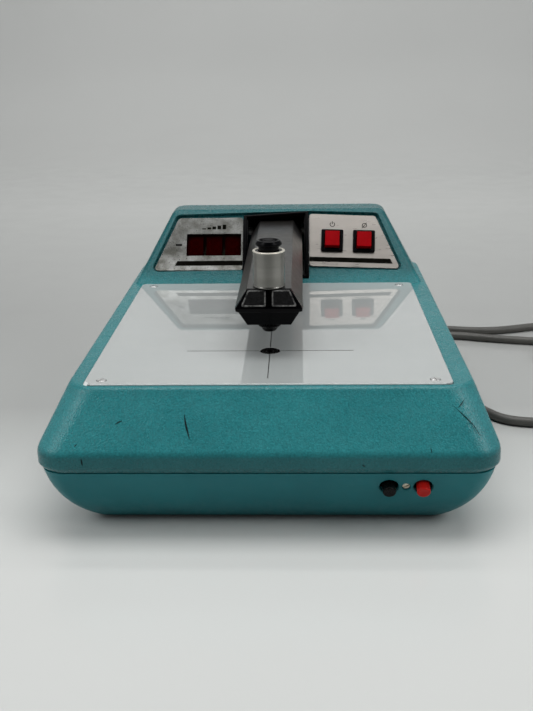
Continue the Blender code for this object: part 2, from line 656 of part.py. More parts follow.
def power_supply(iron, copper, board_green):
    x, y = TRANSFORMER_AT
    core = solid("transformer_core", along_y(block(-27, 27, 0, 45, -10, 10)), iron, None, (x, y, 3.5))
    for side in (-1, 1):
        cut(core, along_y(block(side * 13.5 - 4.5, side * 13.5 + 4.5, 9, 36, -15, 15)), None, (x, y, 3.5))
    winding = frame(rectangle(-17.5, 17.5, -18.5, 18.5), rectangle(-9.3, 9.3, -10.3, 10.3), 12.9, 39.1)
    solid("transformer_winding", winding, copper, None, (x, y, 0))
    solid("main_board", block(-84, 20, -60, 90, 14.0, 15.6), board_green)
    solid("regulator_heatsink", block(-70, -30, 60, 64, 15.9, 40.0), iron)
    can = [(0, 15.9), (11, 15.9), (11, 48), (10, 49), (0, 49)]
    solid("filter_capacitor", turned(can, 20), copper, None, (0, 60, 0))


# ---------------------------------------------------------------- mains lead

def smooth_line(route, spacing):
    """Points about a spacing apart on one smooth curve through the route's own points."""
    points = [Vector(p) for p in route]
    points = [2 * points[0] - points[1], *points, 2 * points[-1] - points[-2]]
    fine = []
    for p0, p1, p2, p3 in zip(points, points[1:], points[2:], points[3:]):
        t1 = (p1 - p0).length ** 0.5
        t2 = t1 + (p2 - p1).length ** 0.5
        t3 = t2 + (p3 - p2).length ** 0.5
        for k in range(20):
            t = t1 + (t2 - t1) * k / 20
            a1 = p0.lerp(p1, t / t1)
            a2 = p1.lerp(p2, (t - t1) / (t2 - t1))
            a3 = p2.lerp(p3, (t - t2) / (t3 - t2))
            b1 = a1.lerp(a2, t / t2)
            b2 = a2.lerp(a3, (t - t1) / (t3 - t1))
            fine.append(b1.lerp(b2, (t - t1) / (t2 - t1)))
    fine.append(points[-2])
    along = [0.0]
    for a, b in zip(fine, fine[1:]):
        along.append(along[-1] + (b - a).length)
    count = round(along[-1] / spacing)
    line, i = [], 0
    for k in range(count + 1):
        at = along[-1] * k / count
        while i < len(along) - 2 and along[i + 1] < at:
            i += 1
        line.append(fine[i].lerp(fine[i + 1], (at - along[i]) / (along[i + 1] - along[i])))
    return line


def mains_lead(rear, grey, black):
    floor = guide("floor_frame", (0, 0, -FOOT_HEIGHT), (0, 0, 0))
    r = CORD_RADIUS
    relief = [(0, -7.0), (5.6, -7.0), (5.6, 0.8), (8.0, 0.8), (8.0, 3.2), (6.2, 4.2)]
    relief += [(r + 1.0, RELIEF_LENGTH), (0, RELIEF_LENGTH)]
    solid("strain_relief", turned(relief, 20), black, rear, (-CORD_EXIT_X, 0, 0))
    inset, z = hull_point(CORD_EXIT_ANGLE)
    out = Vector((0, math.cos(CORD_EXIT_ANGLE), -math.sin(CORD_EXIT_ANGLE)))
    wall = Vector((CORD_EXIT_X, CASE_HALF_DEPTH - inset, z + FOOT_HEIGHT))
    start = wall + out * (RELIEF_LENGTH + GAP)
    curve = bpy.data.curves.new("mains_cord", "CURVE")
    curve.dimensions = "3D"
    curve.bevel_depth = r * MM
    curve.bevel_resolution = 2
    curve.use_fill_caps = True
    route = smooth_line([start, start + out * 8, *CORD_ROUTE], CORD_SPACING)
    line = curve.splines.new("POLY")
    line.points.add(len(route) - 1)
    for point, where in zip(line.points, route):
        point.co = (*(where * MM), 1)
    curve.materials.append(grey)
    place(bpy.data.objects.new("mains_cord", curve), floor)
    ring = rounded(rectangle(COIL_INNER, COIL_OUTER, 0.1, COIL_HEIGHT), 3.0, 2)
    solid("cord_coil", turned(ring, 36), grey, floor, (*COIL_CENTRE, 0))
    mains_plug(grey)


def mains_plug(grey):
    """A moulded plug that lies beside the coil, its cord end towards the coil's last turn."""
    radius = COIL_OUTER - CORD_RADIUS
    side = Vector((math.cos(PLUG_TURN), math.sin(PLUG_TURN)))
    ahead = Vector((side.y, -side.x))
    x, y = Vector(COIL_CENTRE) + side * radius + ahead * PLUG_REACH
    frame_of_plug = guide("plug_frame", (x, y, PLUG_HEIGHT / 2 - FOOT_HEIGHT), (0, 0, PLUG_TURN + math.pi))
    body = [(0, 0), (4.4, 0), (5.6, 14), (0, 14)]
    plug = solid("mains_plug", along_y(turned(body, 16)), grey, frame_of_plug)
    join(plug, block(-11, 11, 13, 36, -12, 12), frame_of_plug)
    for side in (-1, 1):
        join(plug, block(side * 6.3 - 0.75, side * 6.3 + 0.75, 35, 52, -1.2, 5.2), frame_of_plug)
    join(plug, moved(along_y(prism(circle(2.4, 12), 35, 54)), 0, 0, -6.5), frame_of_plug)


# ---------------------------------------------------------------- build

def main():
    for obj in list(bpy.data.objects):
        bpy.data.objects.remove(obj, do_unlink=True)
    teal = paint("teal_plastic", (0.02, 0.21, 0.23), 0.45)
    white = paint("white_acrylic", (0.80, 0.84, 0.85), 0.12)
    aluminium = paint("brushed_aluminium", (0.62, 0.62, 0.60), 0.35, 1.0)
    arm_grey = paint("satin_grey_metal", (0.16, 0.16, 0.16), 0.38, 0.9)
    black = paint("black_plastic", (0.015, 0.015, 0.015), 0.35)
    red = paint("red_plastic", (0.52, 0.005, 0.015), 0.30)
    red_filter = paint("red_filter", (0.05, 0.002, 0.003), 0.10)
    steel = paint("zinc_steel", (0.55, 0.55, 0.55), 0.40, 1.0)
    brass = paint("brass", (0.60, 0.45, 0.20), 0.35, 1.0)
    rubber = paint("black_rubber", (0.02, 0.02, 0.02), 0.80)
    cord_grey = paint("grey_cord", (0.20, 0.19, 0.18), 0.50)
    green = paint("circuit_board", (0.03, 0.14, 0.06), 0.45)
    iron = paint("core_iron", (0.12, 0.12, 0.13), 0.50, 0.6)
    copper = paint("copper_winding", (0.45, 0.20, 0.08), 0.45, 0.6)
    glass = paint("lamp_glass", (0.80, 0.80, 0.78), 0.05)

    console = guide("console_frame", PANEL_FOOT, (PANEL_LEAN, 0, 0))
    inset, z = hull_point(FRONT_ANGLE)
    front = guide("front_wall_frame", (0, inset - CASE_HALF_DEPTH, z), (math.pi / 2 + FRONT_ANGLE, 0, 0))
    inset, z = hull_point(CORD_EXIT_ANGLE)
    rear_turn = (math.pi / 2 + CORD_EXIT_ANGLE, 0, math.pi)
    rear = guide("rear_wall_frame", (0, CASE_HALF_DEPTH - inset, z), rear_turn)

    upper_case(teal, console)
    lower_case(teal, front, rear)
    fasten_case(steel, rubber)
    light_table(white, steel, black)
    light_source(glass, black, aluminium)
    display(console, aluminium, red_filter, red, green)
    controls(console, aluminium, black, red)
    slot_bezel(console, black)
    arm(arm_grey, black, aluminium, steel)
    arm_mount(steel)
    front_controls(front, black, red, brass, green)
    power_supply(iron, copper, green)
    mains_lead(rear, cord_grey, black)


main()
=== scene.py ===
"""The looks of a desktop transmission densitometer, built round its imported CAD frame.

Sizes are in millimetres until a piece is made, in the CAD's own frame: X right, Y to the rear, Z up from
the surface that the feet stand on.
"""

import math

import bmesh
import bpy
from mathutils import Matrix, Vector


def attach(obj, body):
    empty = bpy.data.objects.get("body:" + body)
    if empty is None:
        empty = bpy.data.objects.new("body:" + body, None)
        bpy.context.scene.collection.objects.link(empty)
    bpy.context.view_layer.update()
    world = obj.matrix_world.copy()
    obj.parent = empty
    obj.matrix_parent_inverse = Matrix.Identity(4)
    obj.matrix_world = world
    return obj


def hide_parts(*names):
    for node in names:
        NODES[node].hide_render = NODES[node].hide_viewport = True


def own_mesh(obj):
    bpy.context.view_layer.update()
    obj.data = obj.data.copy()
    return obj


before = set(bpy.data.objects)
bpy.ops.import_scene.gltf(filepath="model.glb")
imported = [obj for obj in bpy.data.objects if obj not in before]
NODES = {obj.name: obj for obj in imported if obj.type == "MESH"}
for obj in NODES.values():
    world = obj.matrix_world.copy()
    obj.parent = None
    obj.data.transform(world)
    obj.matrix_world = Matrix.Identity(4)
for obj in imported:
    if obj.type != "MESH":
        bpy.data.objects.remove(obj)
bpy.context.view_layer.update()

MM = 0.001

# The case: its size, its halves' meeting line, the top of its lip, its deck and the plate on it
HALF_WIDTH, HALF_DEPTH = 128.8, 181
SEAM_Z, LIP_Z, DECK_Z, PLATE_Z = 40.0, 51, 83.0, 84.0
SEAM_GAP = 0.8
SLOPE_RUN = 20.4  # how far back the front slope goes as it climbs from the lip to the deck
DECK_SHIFT, CONSOLE_SHIFT = 1.4, 1.2  # how far right of the middle they stand
PLATE_HALF, PLATE_FRONT, PLATE_REAR = 103.15, -157.2, 75
APERTURE_Y, HEAD_Y, ARM_Z, PIVOT_Y = -97, -98.4, 114, 130
LEAD_X, BLACK_X, TRIMMER_X, RED_X = 70, 67.0, 76.4, 85.8
BASE_SCREWS = [(x, y) for x in (-84, 84) for y in (-138, 138)]
PLATE_SCREWS = [(x, y) for y in (-151.0, 67) for x in (-93.6, 93.6)]
FEET = [(x, y) for x in (-78, 78) for y in (-112, 112)]


def turn(degrees, axis):
    return Matrix.Rotation(math.radians(degrees), 4, axis)


def move(x=0.0, y=0.0, z=0.0):
    return Matrix.Translation((x, y, z))


def climb(rise, run):
    """A turn about X that lays Y up a slope."""
    return turn(math.degrees(math.atan2(rise, run)), "X")


# Places on the case, as frames whose Z stands out of the surface, and the upright axis of the arm's head
CONSOLE = move(0, 86.6, 91.7) @ turn(53.4, "X")
FRONT = move(0, -175.5, 29.85) @ turn(113, "X")
REAR = move(0, 175.04, 28.79) @ turn(180, "Z") @ turn(114, "X")
SLOPE = move(0, -HALF_DEPTH, LIP_Z) @ climb(DECK_Z - LIP_Z, SLOPE_RUN)
LIP = move(0, -HALF_DEPTH, LIP_Z) @ turn(90, "X")
HEAD = move(0, HEAD_Y)


# ---- outlines and lines

def rounded(outline, radius, steps=6):
    """The outline with an arc of the radius at each corner."""
    points = []
    count = len(outline)
    for i, corner in enumerate(outline):
        here = Vector(corner)
        back = (Vector(outline[i - 1]) - here).normalized()
        ahead = (Vector(outline[(i + 1) % count]) - here).normalized()
        half = back.angle(ahead) / 2
        reach = radius / math.tan(half)
        centre = here + (back + ahead).normalized() * (radius / math.sin(half))
        start = here + back * reach - centre
        end = here + ahead * reach - centre
        angle = start.angle(end)
        sign = 1 if start.x * end.y - start.y * end.x > 0 else -1
        for k in range(steps + 1):
            a = sign * angle * k / steps
            points.append((
                centre.x + start.x * math.cos(a) - start.y * math.sin(a),
                centre.y + start.x * math.sin(a) + start.y * math.cos(a),
            ))
    return points


def rectangle(x0, x1, y0, y1):
    return [(x0, y0), (x1, y0), (x1, y1), (x0, y1)]


def centred(x, y):
    return rectangle(-x, x, -y, y)


def circle(radius, sides=32, centre=(0, 0)):
    x, y = centre
    angles = [2 * math.pi * k / sides for k in range(sides)]
    return [(x + radius * math.cos(a), y + radius * math.sin(a)) for a in angles]


def inset(outline, distances):
    """A counter-clockwise outline with each side moved inwards, by one distance or by its own."""
    count = len(outline)
    if not hasattr(distances, "__len__"):
        distances = [distances] * count
    lines = []
    for i in range(count):
        a, b = Vector(outline[i]), Vector(outline[(i + 1) % count])
        along = (b - a).normalized()
        lines.append((a + Vector((-along.y, along.x)) * distances[i], along))
    points = []
    for i in range(count):
        (p, u), (q, v) = lines[i - 1], lines[i]
        t = ((q - p).x * v.y - (q - p).y * v.x) / (u.x * v.y - u.y * v.x)
        points.append(tuple(p + u * t))
    return points


def soften(points, reach, steps=4):
    """The open line with its inner corners rounded, each from its own or the same reach before it."""
    inner = len(points) - 2
    reaches = reach if hasattr(reach, "__len__") else [reach] * inner
    line = [Vector(points[0])]
    for i in range(inner):
        a, b, c = (Vector(p) for p in points[i:i + 3])
        d = min(reaches[i], 0.48 * (b - a).length, 0.48 * (c - b).length)
        p, q = b.lerp(a, d / (a - b).length), b.lerp(c, d / (c - b).length)
        for k in range(steps + 1):
            t = k / steps
            line.append(p.lerp(b, t).lerp(b.lerp(q, t), t))
    line.append(Vector(points[-1]))
    return line


# ---- shapes

def loft(rings, closed=False):
    """A skin through rings of points. It is capped at both ends, or joins its last ring to its first."""
    bm = bmesh.new()
    loops = [[bm.verts.new(p) for p in ring] for ring in rings]
    if closed:
        loops.append(loops[0])
    else:
        bm.faces.new(loops[0])
        bm.faces.new(loops[-1])
    count = len(rings[0])
    for a, b in zip(loops, loops[1:]):
        for i in range(count):
            j = (i + 1) % count
            bm.faces.new((a[i], a[j], b[j], b[i]))
    bmesh.ops.recalc_face_normals(bm, faces=bm.faces)
    return bm


def stack(outlines):
    """A loft through (outline, height) pairs."""
    return loft([[(x, y, z) for x, y in outline] for outline, z in outlines])


def quarter(radius, steps):
    """How far in and how far down each point of a rounded edge is."""
    angles = [math.pi / 2 * k / steps for k in range(steps + 1)]
    return [(radius * (1 - math.cos(a)), radius * (1 - math.sin(a))) for a in angles]


def prism(outline, low, high, edge=0.0, steps=3):
    """The outline extruded along Z, with its top edge rounded where an edge radius is given."""
    if not edge:
        return stack([(outline, low), (outline, high)])
    return stack([(outline, low)] + [(inset(outline, d), high - drop) for d, drop in quarter(edge, steps)])


def opening(outline, corner, low, face, rim, steps=5):
    """A cutter for a hole with rounded corners, whose rim at the face is rounded over."""
    levels = [(rounded(outline, corner, steps), low)]
    for wide, drop in quarter(rim, steps):
        levels.append((rounded(inset(outline, -wide), corner + wide, steps), face - drop))
    levels.append((levels[-1][0], face + 12))
    return stack(levels)


def turned(profile, sides=40):
    """The profile, points of radius and height, turned about Z. A point on the axis closes an end."""
    bm = bmesh.new()
    rings = []
    for radius, z in profile:
        if radius < 1e-6:
            rings.append([bm.verts.new((0, 0, z))] * sides)
        else:
            rings.append([bm.verts.new((x, y, z)) for x, y in circle(radius, sides)])
    closed = all(radius > 1e-6 for radius, _ in profile)
    for a in range(len(rings) if closed else len(rings) - 1):
        b = (a + 1) % len(rings)
        for i in range(sides):
            j = (i + 1) % sides
            corners = list(dict.fromkeys((rings[a][i], rings[a][j], rings[b][j], rings[b][i])))
            if len(corners) > 2:
                bm.faces.new(corners)
    return bm


def band(outer, inner, low, high, edge=0.4, steps=3):
    """A frame between two outlines of as many points, with its top edges rounded."""
    sides = []
    for outline, sign in ((outer, 1), (inner, -1)):
        rings = [(outline, low)]
        rings += [(inset(outline, sign * d), high - drop) for d, drop in quarter(edge, steps)]
        sides.append([[(x, y, z) for x, y in line] for line, z in rings])
    return loft(sides[0] + sides[1][::-1], closed=True)


def block(x0, x1, y0, y1, z0, z1):
    return prism(rectangle(x0, x1, y0, y1), z0, z1)


def soft_block(x0, x1, y0, y1, z0, z1, radius=0.4, steps=3):
    """A block with all of its edges rounded."""
    bm = block(x0, x1, y0, y1, z0, z1)
    bmesh.ops.bevel(bm, geom=bm.edges[:], offset=radius, segments=steps, profile=0.5, affect="EDGES")
    return bm


def shifted(bm, x=0.0, y=0.0, z=0.0):
    bmesh.ops.translate(bm, vec=(x, y, z), verts=bm.verts)
    return bm


def lathe(profile, reach, steps, sides, x=0.0, y=0.0):
    """The profile turned about the upright line at x, y, with its corners softened."""
    return shifted(turned(soften(profile, reach, steps), sides), x, y)


def set_in(bm, matrix):
    bmesh.ops.transform(bm, matrix=matrix, verts=bm.verts)
    return bm


def merged(*shapes):
    """Several shapes as one, not joined where they touch."""
    whole = bmesh.new()
    for bm in shapes:
        part = bpy.data.meshes.new("part")
        bmesh.ops.recalc_face_normals(bm, faces=bm.faces)
        bm.to_mesh(part)
        bm.free()
        whole.from_mesh(part)
        bpy.data.meshes.remove(part)
    return whole


def along_y(bm):
    swap = Matrix(((1, 0, 0, 0), (0, 0, 1, 0), (0, 1, 0, 0), (0, 0, 0, 1)))
    return set_in(bm, swap)


# ---- pieces

SHARP_ANGLE = 32  # edges that turn by more than this stay sharp


def link(name, data):
    obj = bpy.data.objects.new(name, data)
    bpy.context.scene.collection.objects.link(obj)
    return obj


def make(name, bm, material, at=None):
    if at is not None:
        set_in(bm, at)
    bmesh.ops.recalc_face_normals(bm, faces=bm.faces)
    bmesh.ops.scale(bm, vec=(MM, MM, MM), verts=bm.verts)
    mesh = bpy.data.meshes.new(name)
    bm.to_mesh(mesh)
    bm.free()
    if material:
        mesh.materials.append(material)
    return link(name, mesh)


def change(obj, bm, operation, at=None):
    """Cuts a shape away from a piece, or joins it on."""
    tool = make("tool", bm, None, at)
    modifier = obj.modifiers.new("change", "BOOLEAN")
    modifier.operation = operation
    modifier.solver = "MANIFOLD"
    modifier.object = tool
    graph = bpy.context.evaluated_depsgraph_get()
    mesh = bpy.data.meshes.new_from_object(obj.evaluated_get(graph))
    obj.modifiers.clear()
    old = obj.data
    obj.data = mesh
    bpy.data.meshes.remove(old)
    bpy.data.objects.remove(tool, do_unlink=True)


def cut(obj, bm, at=None):
    change(obj, bm, "DIFFERENCE", at)


def join(obj, bm, at=None):
    change(obj, bm, "UNION", at)


def settle(obj, slot, *nodes, body="case"):
    """Shades a piece, puts it on its body and hides the CAD nodes it stands for; the material slot is not
    used.
    """
    if obj.type == "MESH":
        obj.data.shade_smooth()
        obj.data.set_sharp_from_angle(angle=math.radians(SHARP_ANGLE))
        normals = obj.modifiers.new("flat_faces", "WEIGHTED_NORMAL")
        normals.keep_sharp = True
    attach(obj, body)
    if nodes:
        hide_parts(*nodes)
    return obj


def piece(name, bm, material, slot, *nodes, body="case", at=None):
    return settle(make(name, bm, material, at), slot, *nodes, body=body)


# ---- camera

def add_camera():
    """The view: 17.9 degrees down, turned 2 degrees to the left, with a 51.7 mm lens."""
    down, yaw, roll = (math.radians(a) for a in (17.889, -2.023, -0.871))
    forward = Vector((math.sin(yaw) * math.cos(down), math.cos(yaw) * math.cos(down), -math.sin(down)))
    flat = Vector((math.cos(yaw), -math.sin(yaw), 0))
    upward = flat.cross(forward)
    right = math.cos(roll) * flat + math.sin(roll) * upward
    up = math.cos(roll) * upward - math.sin(roll) * flat
    lens = bpy.data.cameras.new("camera")
    lens.lens = 51.7
    lens.clip_start = 0.01
    camera = link("camera", lens)
    columns = (right, up, -forward, Vector((0.01873, -0.6907, 0.27268)))
    camera.matrix_world = Matrix([[*(column[i] for column in columns)] for i in range(3)] + [[0, 0, 0, 1]])
    bpy.context.scene.camera = camera


# ---- materials

def node(tree, kind, inputs=None, **settings):
    """A shader node. Its inputs go by name or number, each with a value or the socket that feeds it."""
    made = tree.nodes.new("ShaderNode" + kind)
    for key, value in settings.items():
        setattr(made, key, value)
    for key, value in (inputs or {}).items():
        if isinstance(value, bpy.types.NodeSocket):
            tree.links.new(value, made.inputs[key])
        else:
            made.inputs[key].default_value = value
    return made


def span(tree, value, low, high, to_low, to_high):
    """The value rescaled from one range to another, and kept inside it."""
    numbers = {"Value": value, "From Min": low, "From Max": high, "To Min": to_low, "To Max": to_high}
    return node(tree, "MapRange", numbers).outputs[0]


def blend(tree, factor, first, second):
    """A colour between two, each a socket or three numbers."""
    first, second = ((*c, 1) if isinstance(c, tuple) else c for c in (first, second))
    return node(tree, "Mix", {0: factor, 6: first, 7: second}, data_type="RGBA").outputs[2]


def noise(tree, place, size, detail=3.0):
    settings = {"Vector": place, "Scale": 1 / (size * MM), "Detail": detail, "Roughness": 0.55}
    return node(tree, "TexNoise", settings).outputs[0]


def cells(tree, place, size):
    settings = {"Vector": place, "Scale": 1 / (size * MM), "Smoothness": 0.5}
    return node(tree, "TexVoronoi", settings, feature="SMOOTH_F1").outputs[0]


def edge_wear_and_highlight(tree, radius):
    """1 on sharp edges, 0 on flat faces."""
    soft = node(tree, "Bevel", {"Radius": radius * MM}, samples=6).outputs[0]
    flat = node(tree, "NewGeometry").outputs["Normal"]
    dot = node(tree, "VectorMath", {0: soft, 1: flat}, operation="DOT_PRODUCT")
    return span(tree, dot.outputs["Value"], 0.995, 0.93, 0.0, 1.0)


def finish(name, colour, rough, metallic=0.0, other=None, patch=12.0, rough_span=0.08, pebbles=None,
           grain=None, stretch=(1, 1, 1), edge=None, edge_size=0.5, specular=0.5, smooth_below=None, tones=(),
           speckle=0.0):
    """A painted, moulded or bare surface.

    Patches of the other colour, patch mm across, lie over the first. Pebbles and grain are bumps, each a
    (size, height) in mm, and under the height smooth_below they are a quarter as strong. Edge is the colour
    laid on sharp edges: wear on the panels, and a painted highlight along the arm's edges. Each tone is
    (axis, from, to, first strength, last strength) for how the colour changes along an axis, and speckle is
    how much it varies from spot to spot.
    """
    material = bpy.data.materials.new(name)
    material.use_nodes = True
    tree = material.node_tree
    shader = tree.nodes["Principled BSDF"]
    other = other or tuple(c * 0.82 for c in colour)
    raw = node(tree, "TexCoord").outputs["Object"]
    place = node(tree, "Mapping", {"Vector": raw, "Scale": stretch}).outputs[0]
    patches = span(tree, noise(tree, place, patch), 0.36, 0.64, 0.0, 1.0)
    shade = blend(tree, patches, colour, other)
    fine = noise(tree, place, patch / 9, 2.0)
    axes = node(tree, "SeparateXYZ", {"Vector": raw}).outputs
    strengths = [span(tree, axes[axis], low * MM, top * MM, *ends) for axis, low, top, *ends in tones]
    if speckle:
        strengths.append(span(tree, noise(tree, raw, 1.0, 2.0), 0.35, 0.65, 1 - speckle, 1 + speckle))
    for strength in strengths:
        shade = node(tree, "VectorMath", {0: shade, "Scale": strength}, operation="SCALE").outputs[0]
    # A lighter colour on sharp edges: wear on the panels, a painted highlight on the arm.
    if edge:
        uneven = span(tree, noise(tree, raw, 1.6), 0.38, 0.6, 0.15, 1.0)
        rubbed_and_highlit = node(tree, "Math", {0: edge_wear_and_highlight(tree, edge_size), 1: uneven}, operation="MULTIPLY")
        shade = blend(tree, rubbed_and_highlit.outputs[0], shade, edge)
    tree.links.new(shade, shader.inputs["Base Color"])
    roughness = span(tree, fine, 0.3, 0.7, rough - rough_span, rough + rough_span)
    tree.links.new(roughness, shader.inputs["Roughness"])
    shader.inputs["Metallic"].default_value = metallic
    shader.inputs["Specular IOR Level"].default_value = specular
    normal = None
    bumps = [(cells(tree, place, pebbles[0]), pebbles[1])] if pebbles else []
    bumps += [(noise(tree, place, grain[0], 2.0), grain[1])] if grain else []
    for texture, height in bumps:
        bump = node(tree, "Bump", {"Height": texture, "Distance": height * MM, "Strength": 1.0})
        if smooth_below is not None:
            edge_z = smooth_below * MM
            strength = span(tree, axes["Z"], edge_z - 0.001, edge_z + 0.002, 0.25, 1.0)
            tree.links.new(strength, bump.inputs["Strength"])
        if normal:
            tree.links.new(normal, bump.inputs["Normal"])
        normal = bump.outputs[0]
    if normal:
        tree.links.new(normal, shader.inputs["Normal"])
    material.diffuse_color = (*colour, 1)
    return material


# The tones paint shade into the upper case's teal: darker across the lip band below z 49-53 mm, a little
# darker over the deck from z 78-83 mm, and darker again up the console from z 86-93 mm.
teal = finish(
    "teal_texture", (0.027, 0.202, 0.218), 0.29, other=(0.022, 0.178, 0.194), patch=40, pebbles=(1.0, 0.17),
    grain=(0.7, 0.1), smooth_below=52, specular=0.26,
    tones=(("Z", 49, 53, 0.6, 1.0), ("Z", 78, 83, 1.0, 0.86), ("Z", 86, 93, 1.0, 0.6)), speckle=0.18)
# The lower case has the upper case's paint with a smoother grain; its darker teal is painted shade for walls
# that face down.
shaded_tray_teal = finish(
    "teal_smooth", (0.013, 0.16, 0.178), 0.4, other=(0.011, 0.14, 0.158), patch=45, grain=(1.0, 0.04),
    specular=0.22)
white = finish(
    "white_acrylic", (0.355, 0.375, 0.37), 0.03, other=(0.34, 0.36, 0.355), patch=70, rough_span=0.01,
    specular=1.0)
# Bright white for the chip's broken face, and a painted highlight on the strip along the plate's front edge.
chip_and_edge_highlight = finish("chip_white_edge_highlight", (0.78, 0.81, 0.8), 0.3, other=(0.7, 0.74, 0.73), patch=3)
ink = finish("printed_lines", (0.006, 0.006, 0.007), 0.4, other=(0.02, 0.02, 0.02), patch=4)
dark_panel = finish(
    "worn_aluminium", (0.1, 0.1, 0.088), 0.34, 0.85, other=(0.24, 0.245, 0.235), patch=11, grain=(0.5, 0.004),
    edge=(0.75, 0.75, 0.74), edge_size=0.4, tones=(("Z", 93, 106, 1.4, 0.6),), speckle=0.12)
light_panel = finish(
    "brushed_aluminium", (0.26, 0.243, 0.222), 0.34, 0.85, other=(0.225, 0.21, 0.193), patch=16,
    grain=(0.5, 0.004), stretch=(0.12, 1, 1), edge=(0.8, 0.8, 0.79), edge_size=0.4)
stripe = finish(
    "stripe_black", (0.003, 0.003, 0.002), 0.6, other=(0.005, 0.005, 0.004), patch=6, specular=0.0)
gloss_black = finish(
    "gloss_black", (0.001, 0.001, 0.0014), 0.16, other=(0.0016, 0.0016, 0.002), patch=9, rough_span=0.05,
    grain=(5, 0.01), specular=0.08)
satin_black = finish(
    "satin_black", (0.001, 0.001, 0.001), 0.28, other=(0.002, 0.002, 0.002), patch=6, grain=(0.5, 0.008),
    specular=0.12)
crinkle = finish(
    "crinkle_black", (0.0012, 0.0012, 0.0012), 0.42, other=(0.006, 0.006, 0.0065), patch=1.6,
    pebbles=(0.9, 0.2), grain=(0.45, 0.08), specular=0.15)
rubbed_black = finish(
    "rubbed_black", (0.006, 0.006, 0.006), 0.4, other=(0.15, 0.15, 0.145), patch=2.2, grain=(0.5, 0.05),
    specular=0.2)
red = finish(
    "red_cap", (0.26, 0.0005, 0.003), 0.3, other=(0.22, 0.0005, 0.002), patch=7, grain=(0.7, 0.004),
    specular=0.03)
front_red = finish(
    "front_red", (0.45, 0.01, 0.006), 0.35, other=(0.38, 0.008, 0.005), patch=4, grain=(0.5, 0.01),
    specular=0.15)
# Its lighter edge colour paints a highlight along the arm's edges.
arm_metal = finish(
    "arm_metal", (0.045, 0.041, 0.037), 0.34, 0.75, other=(0.04, 0.041, 0.044), patch=45, rough_span=0.03,
    specular=0.25, edge=(0.16, 0.155, 0.15), edge_size=0.5)
tube_metal = finish(
    "satin_aluminium", (0.27, 0.265, 0.245), 0.2, 0.95, other=(0.21, 0.208, 0.19), patch=10, rough_span=0.04,
    grain=(0.4, 0.004), stretch=(0.1, 0.1, 1))
# A pale metal that paints the highlight along the detector tube's top rim.
rim_highlight_metal = finish("painted_rim_highlight", (0.75, 0.71, 0.62), 0.3, 0.6, patch=4, grain=(0.4, 0.005))
zinc = finish("zinc_steel", (0.62, 0.62, 0.61), 0.34, 0.7, other=(0.5, 0.5, 0.5), patch=3, grain=(0.3, 0.004))
brass = finish(
    "trimmer_brass", (0.7, 0.66, 0.56), 0.32, 0.8, other=(0.5, 0.44, 0.33), patch=1.5, grain=(0.3, 0.004))
rubber = finish(
    "foot_rubber", (0.018, 0.018, 0.018), 0.72, other=(0.03, 0.03, 0.03), patch=3, grain=(0.6, 0.02))
cord_grey = finish(
    "cord_grey", (0.082, 0.08, 0.072), 0.48, other=(0.065, 0.063, 0.057), patch=12, grain=(0.9, 0.02))
digit_body = finish("digit_body", (0.095, 0.0005, 0.0005), 0.5, patch=3, specular=0.0)
digit_bar = finish("digit_bar", (0.13, 0.001, 0.001), 0.4, patch=3, specular=0.0)
board = finish(
    "circuit_board", (0.025, 0.12, 0.05), 0.4, other=(0.05, 0.16, 0.06), patch=5, grain=(1.2, 0.03))
iron = finish(
    "core_iron", (0.1, 0.1, 0.11), 0.5, 0.7, other=(0.14, 0.11, 0.09), patch=6, grain=(0.5, 0.03),
    stretch=(1, 8, 1))
tape = finish(
    "winding_tape", (0.42, 0.3, 0.1), 0.45, other=(0.36, 0.24, 0.07), patch=5, grain=(1.0, 0.04),
    stretch=(1, 1, 6))
glass = finish("lamp_glass", (0.7, 0.7, 0.66), 0.06, other=(0.62, 0.62, 0.58), patch=4)
scratch = finish("scratch", (0.002, 0.003, 0.003), 0.7, other=(0.006, 0.009, 0.009), patch=2, specular=0.1)


def filter_material():
    """Dark red acrylic that lets the digits behind it show faintly."""
    material = finish("red_filter", (0.002, 0.0, 0.0), 0.10, other=(0.003, 0.0, 0.0), patch=9, specular=0.02)
    material.node_tree.nodes["Principled BSDF"].inputs["Alpha"].default_value = 0.42
    return material


red_filter = filter_material()


# ---- mains lead

CORD_RADIUS = 3.4
COIL_CENTRE = Vector((266, 130, 0))
LEAD_IN, COIL_EXIT = 107.0, -1110.0  # degrees round the coil, clockwise
OUTER_TURN, INNER_TURN, LOW_LAYER, HIGH_LAYER = 39.4, 32.6, 3.5, 10.3
RELIEF_REACH = 32.3
OUT = Vector((0, math.cos(math.radians(24)), -math.sin(math.radians(24))))
CORD_START = REAR.translation + Vector((LEAD_X, 0, 0)) + OUT * RELIEF_REACH
CORD_ROUTE = [(72, 223, 6.4), (84, 233.5, 4.2)] + [(x, y, LOW_LAYER) for x, y in (
    (105, 235), (130, 227), (156.5, 218.4), (180, 214.2), (199.5, 215.2), (217, 220.5),
    (235, 226.6), (259, 229.5), (285, 221), (307, 200), (320, 168), (322.5, 130),
    (316, 90), (299, 52), (271, 19), (238, -3.5), (208, -12), (181, -13),
    (164, -7), (152, 10), (139.5, 41), (128.5, 82), (124, 124), (124, 164),
    (131, 188), (147, 199), (162, 198.5), (179.7, 192.8), (200, 187), (224.5, 181.2),
    (252, 175),
)]
PLUG = move(288.2, 89.7, 12.2) @ turn(150, "Z")


def eased(angle, start, end):
    t = min(1.0, max(0.0, (start - angle) / (start - end)))
    return t * t * (3 - 2 * t)


def coil_point(angle):
    """Where the lead is in its coil: outer low turn, inner low, inner high, outer high."""
    inwards = eased(angle, -225, -285) - eased(angle, -825, -885)
    radius = OUTER_TURN + (INNER_TURN - OUTER_TURN) * inwards
    if angle > 60:
        radius += 7.7 * ((angle - 60) / 47) ** 2.2
    height = LOW_LAYER + (HIGH_LAYER - LOW_LAYER) * eased(angle, -525, -585)
    a = math.radians(angle)
    return COIL_CENTRE + Vector((radius * math.cos(a), radius * math.sin(a), height))


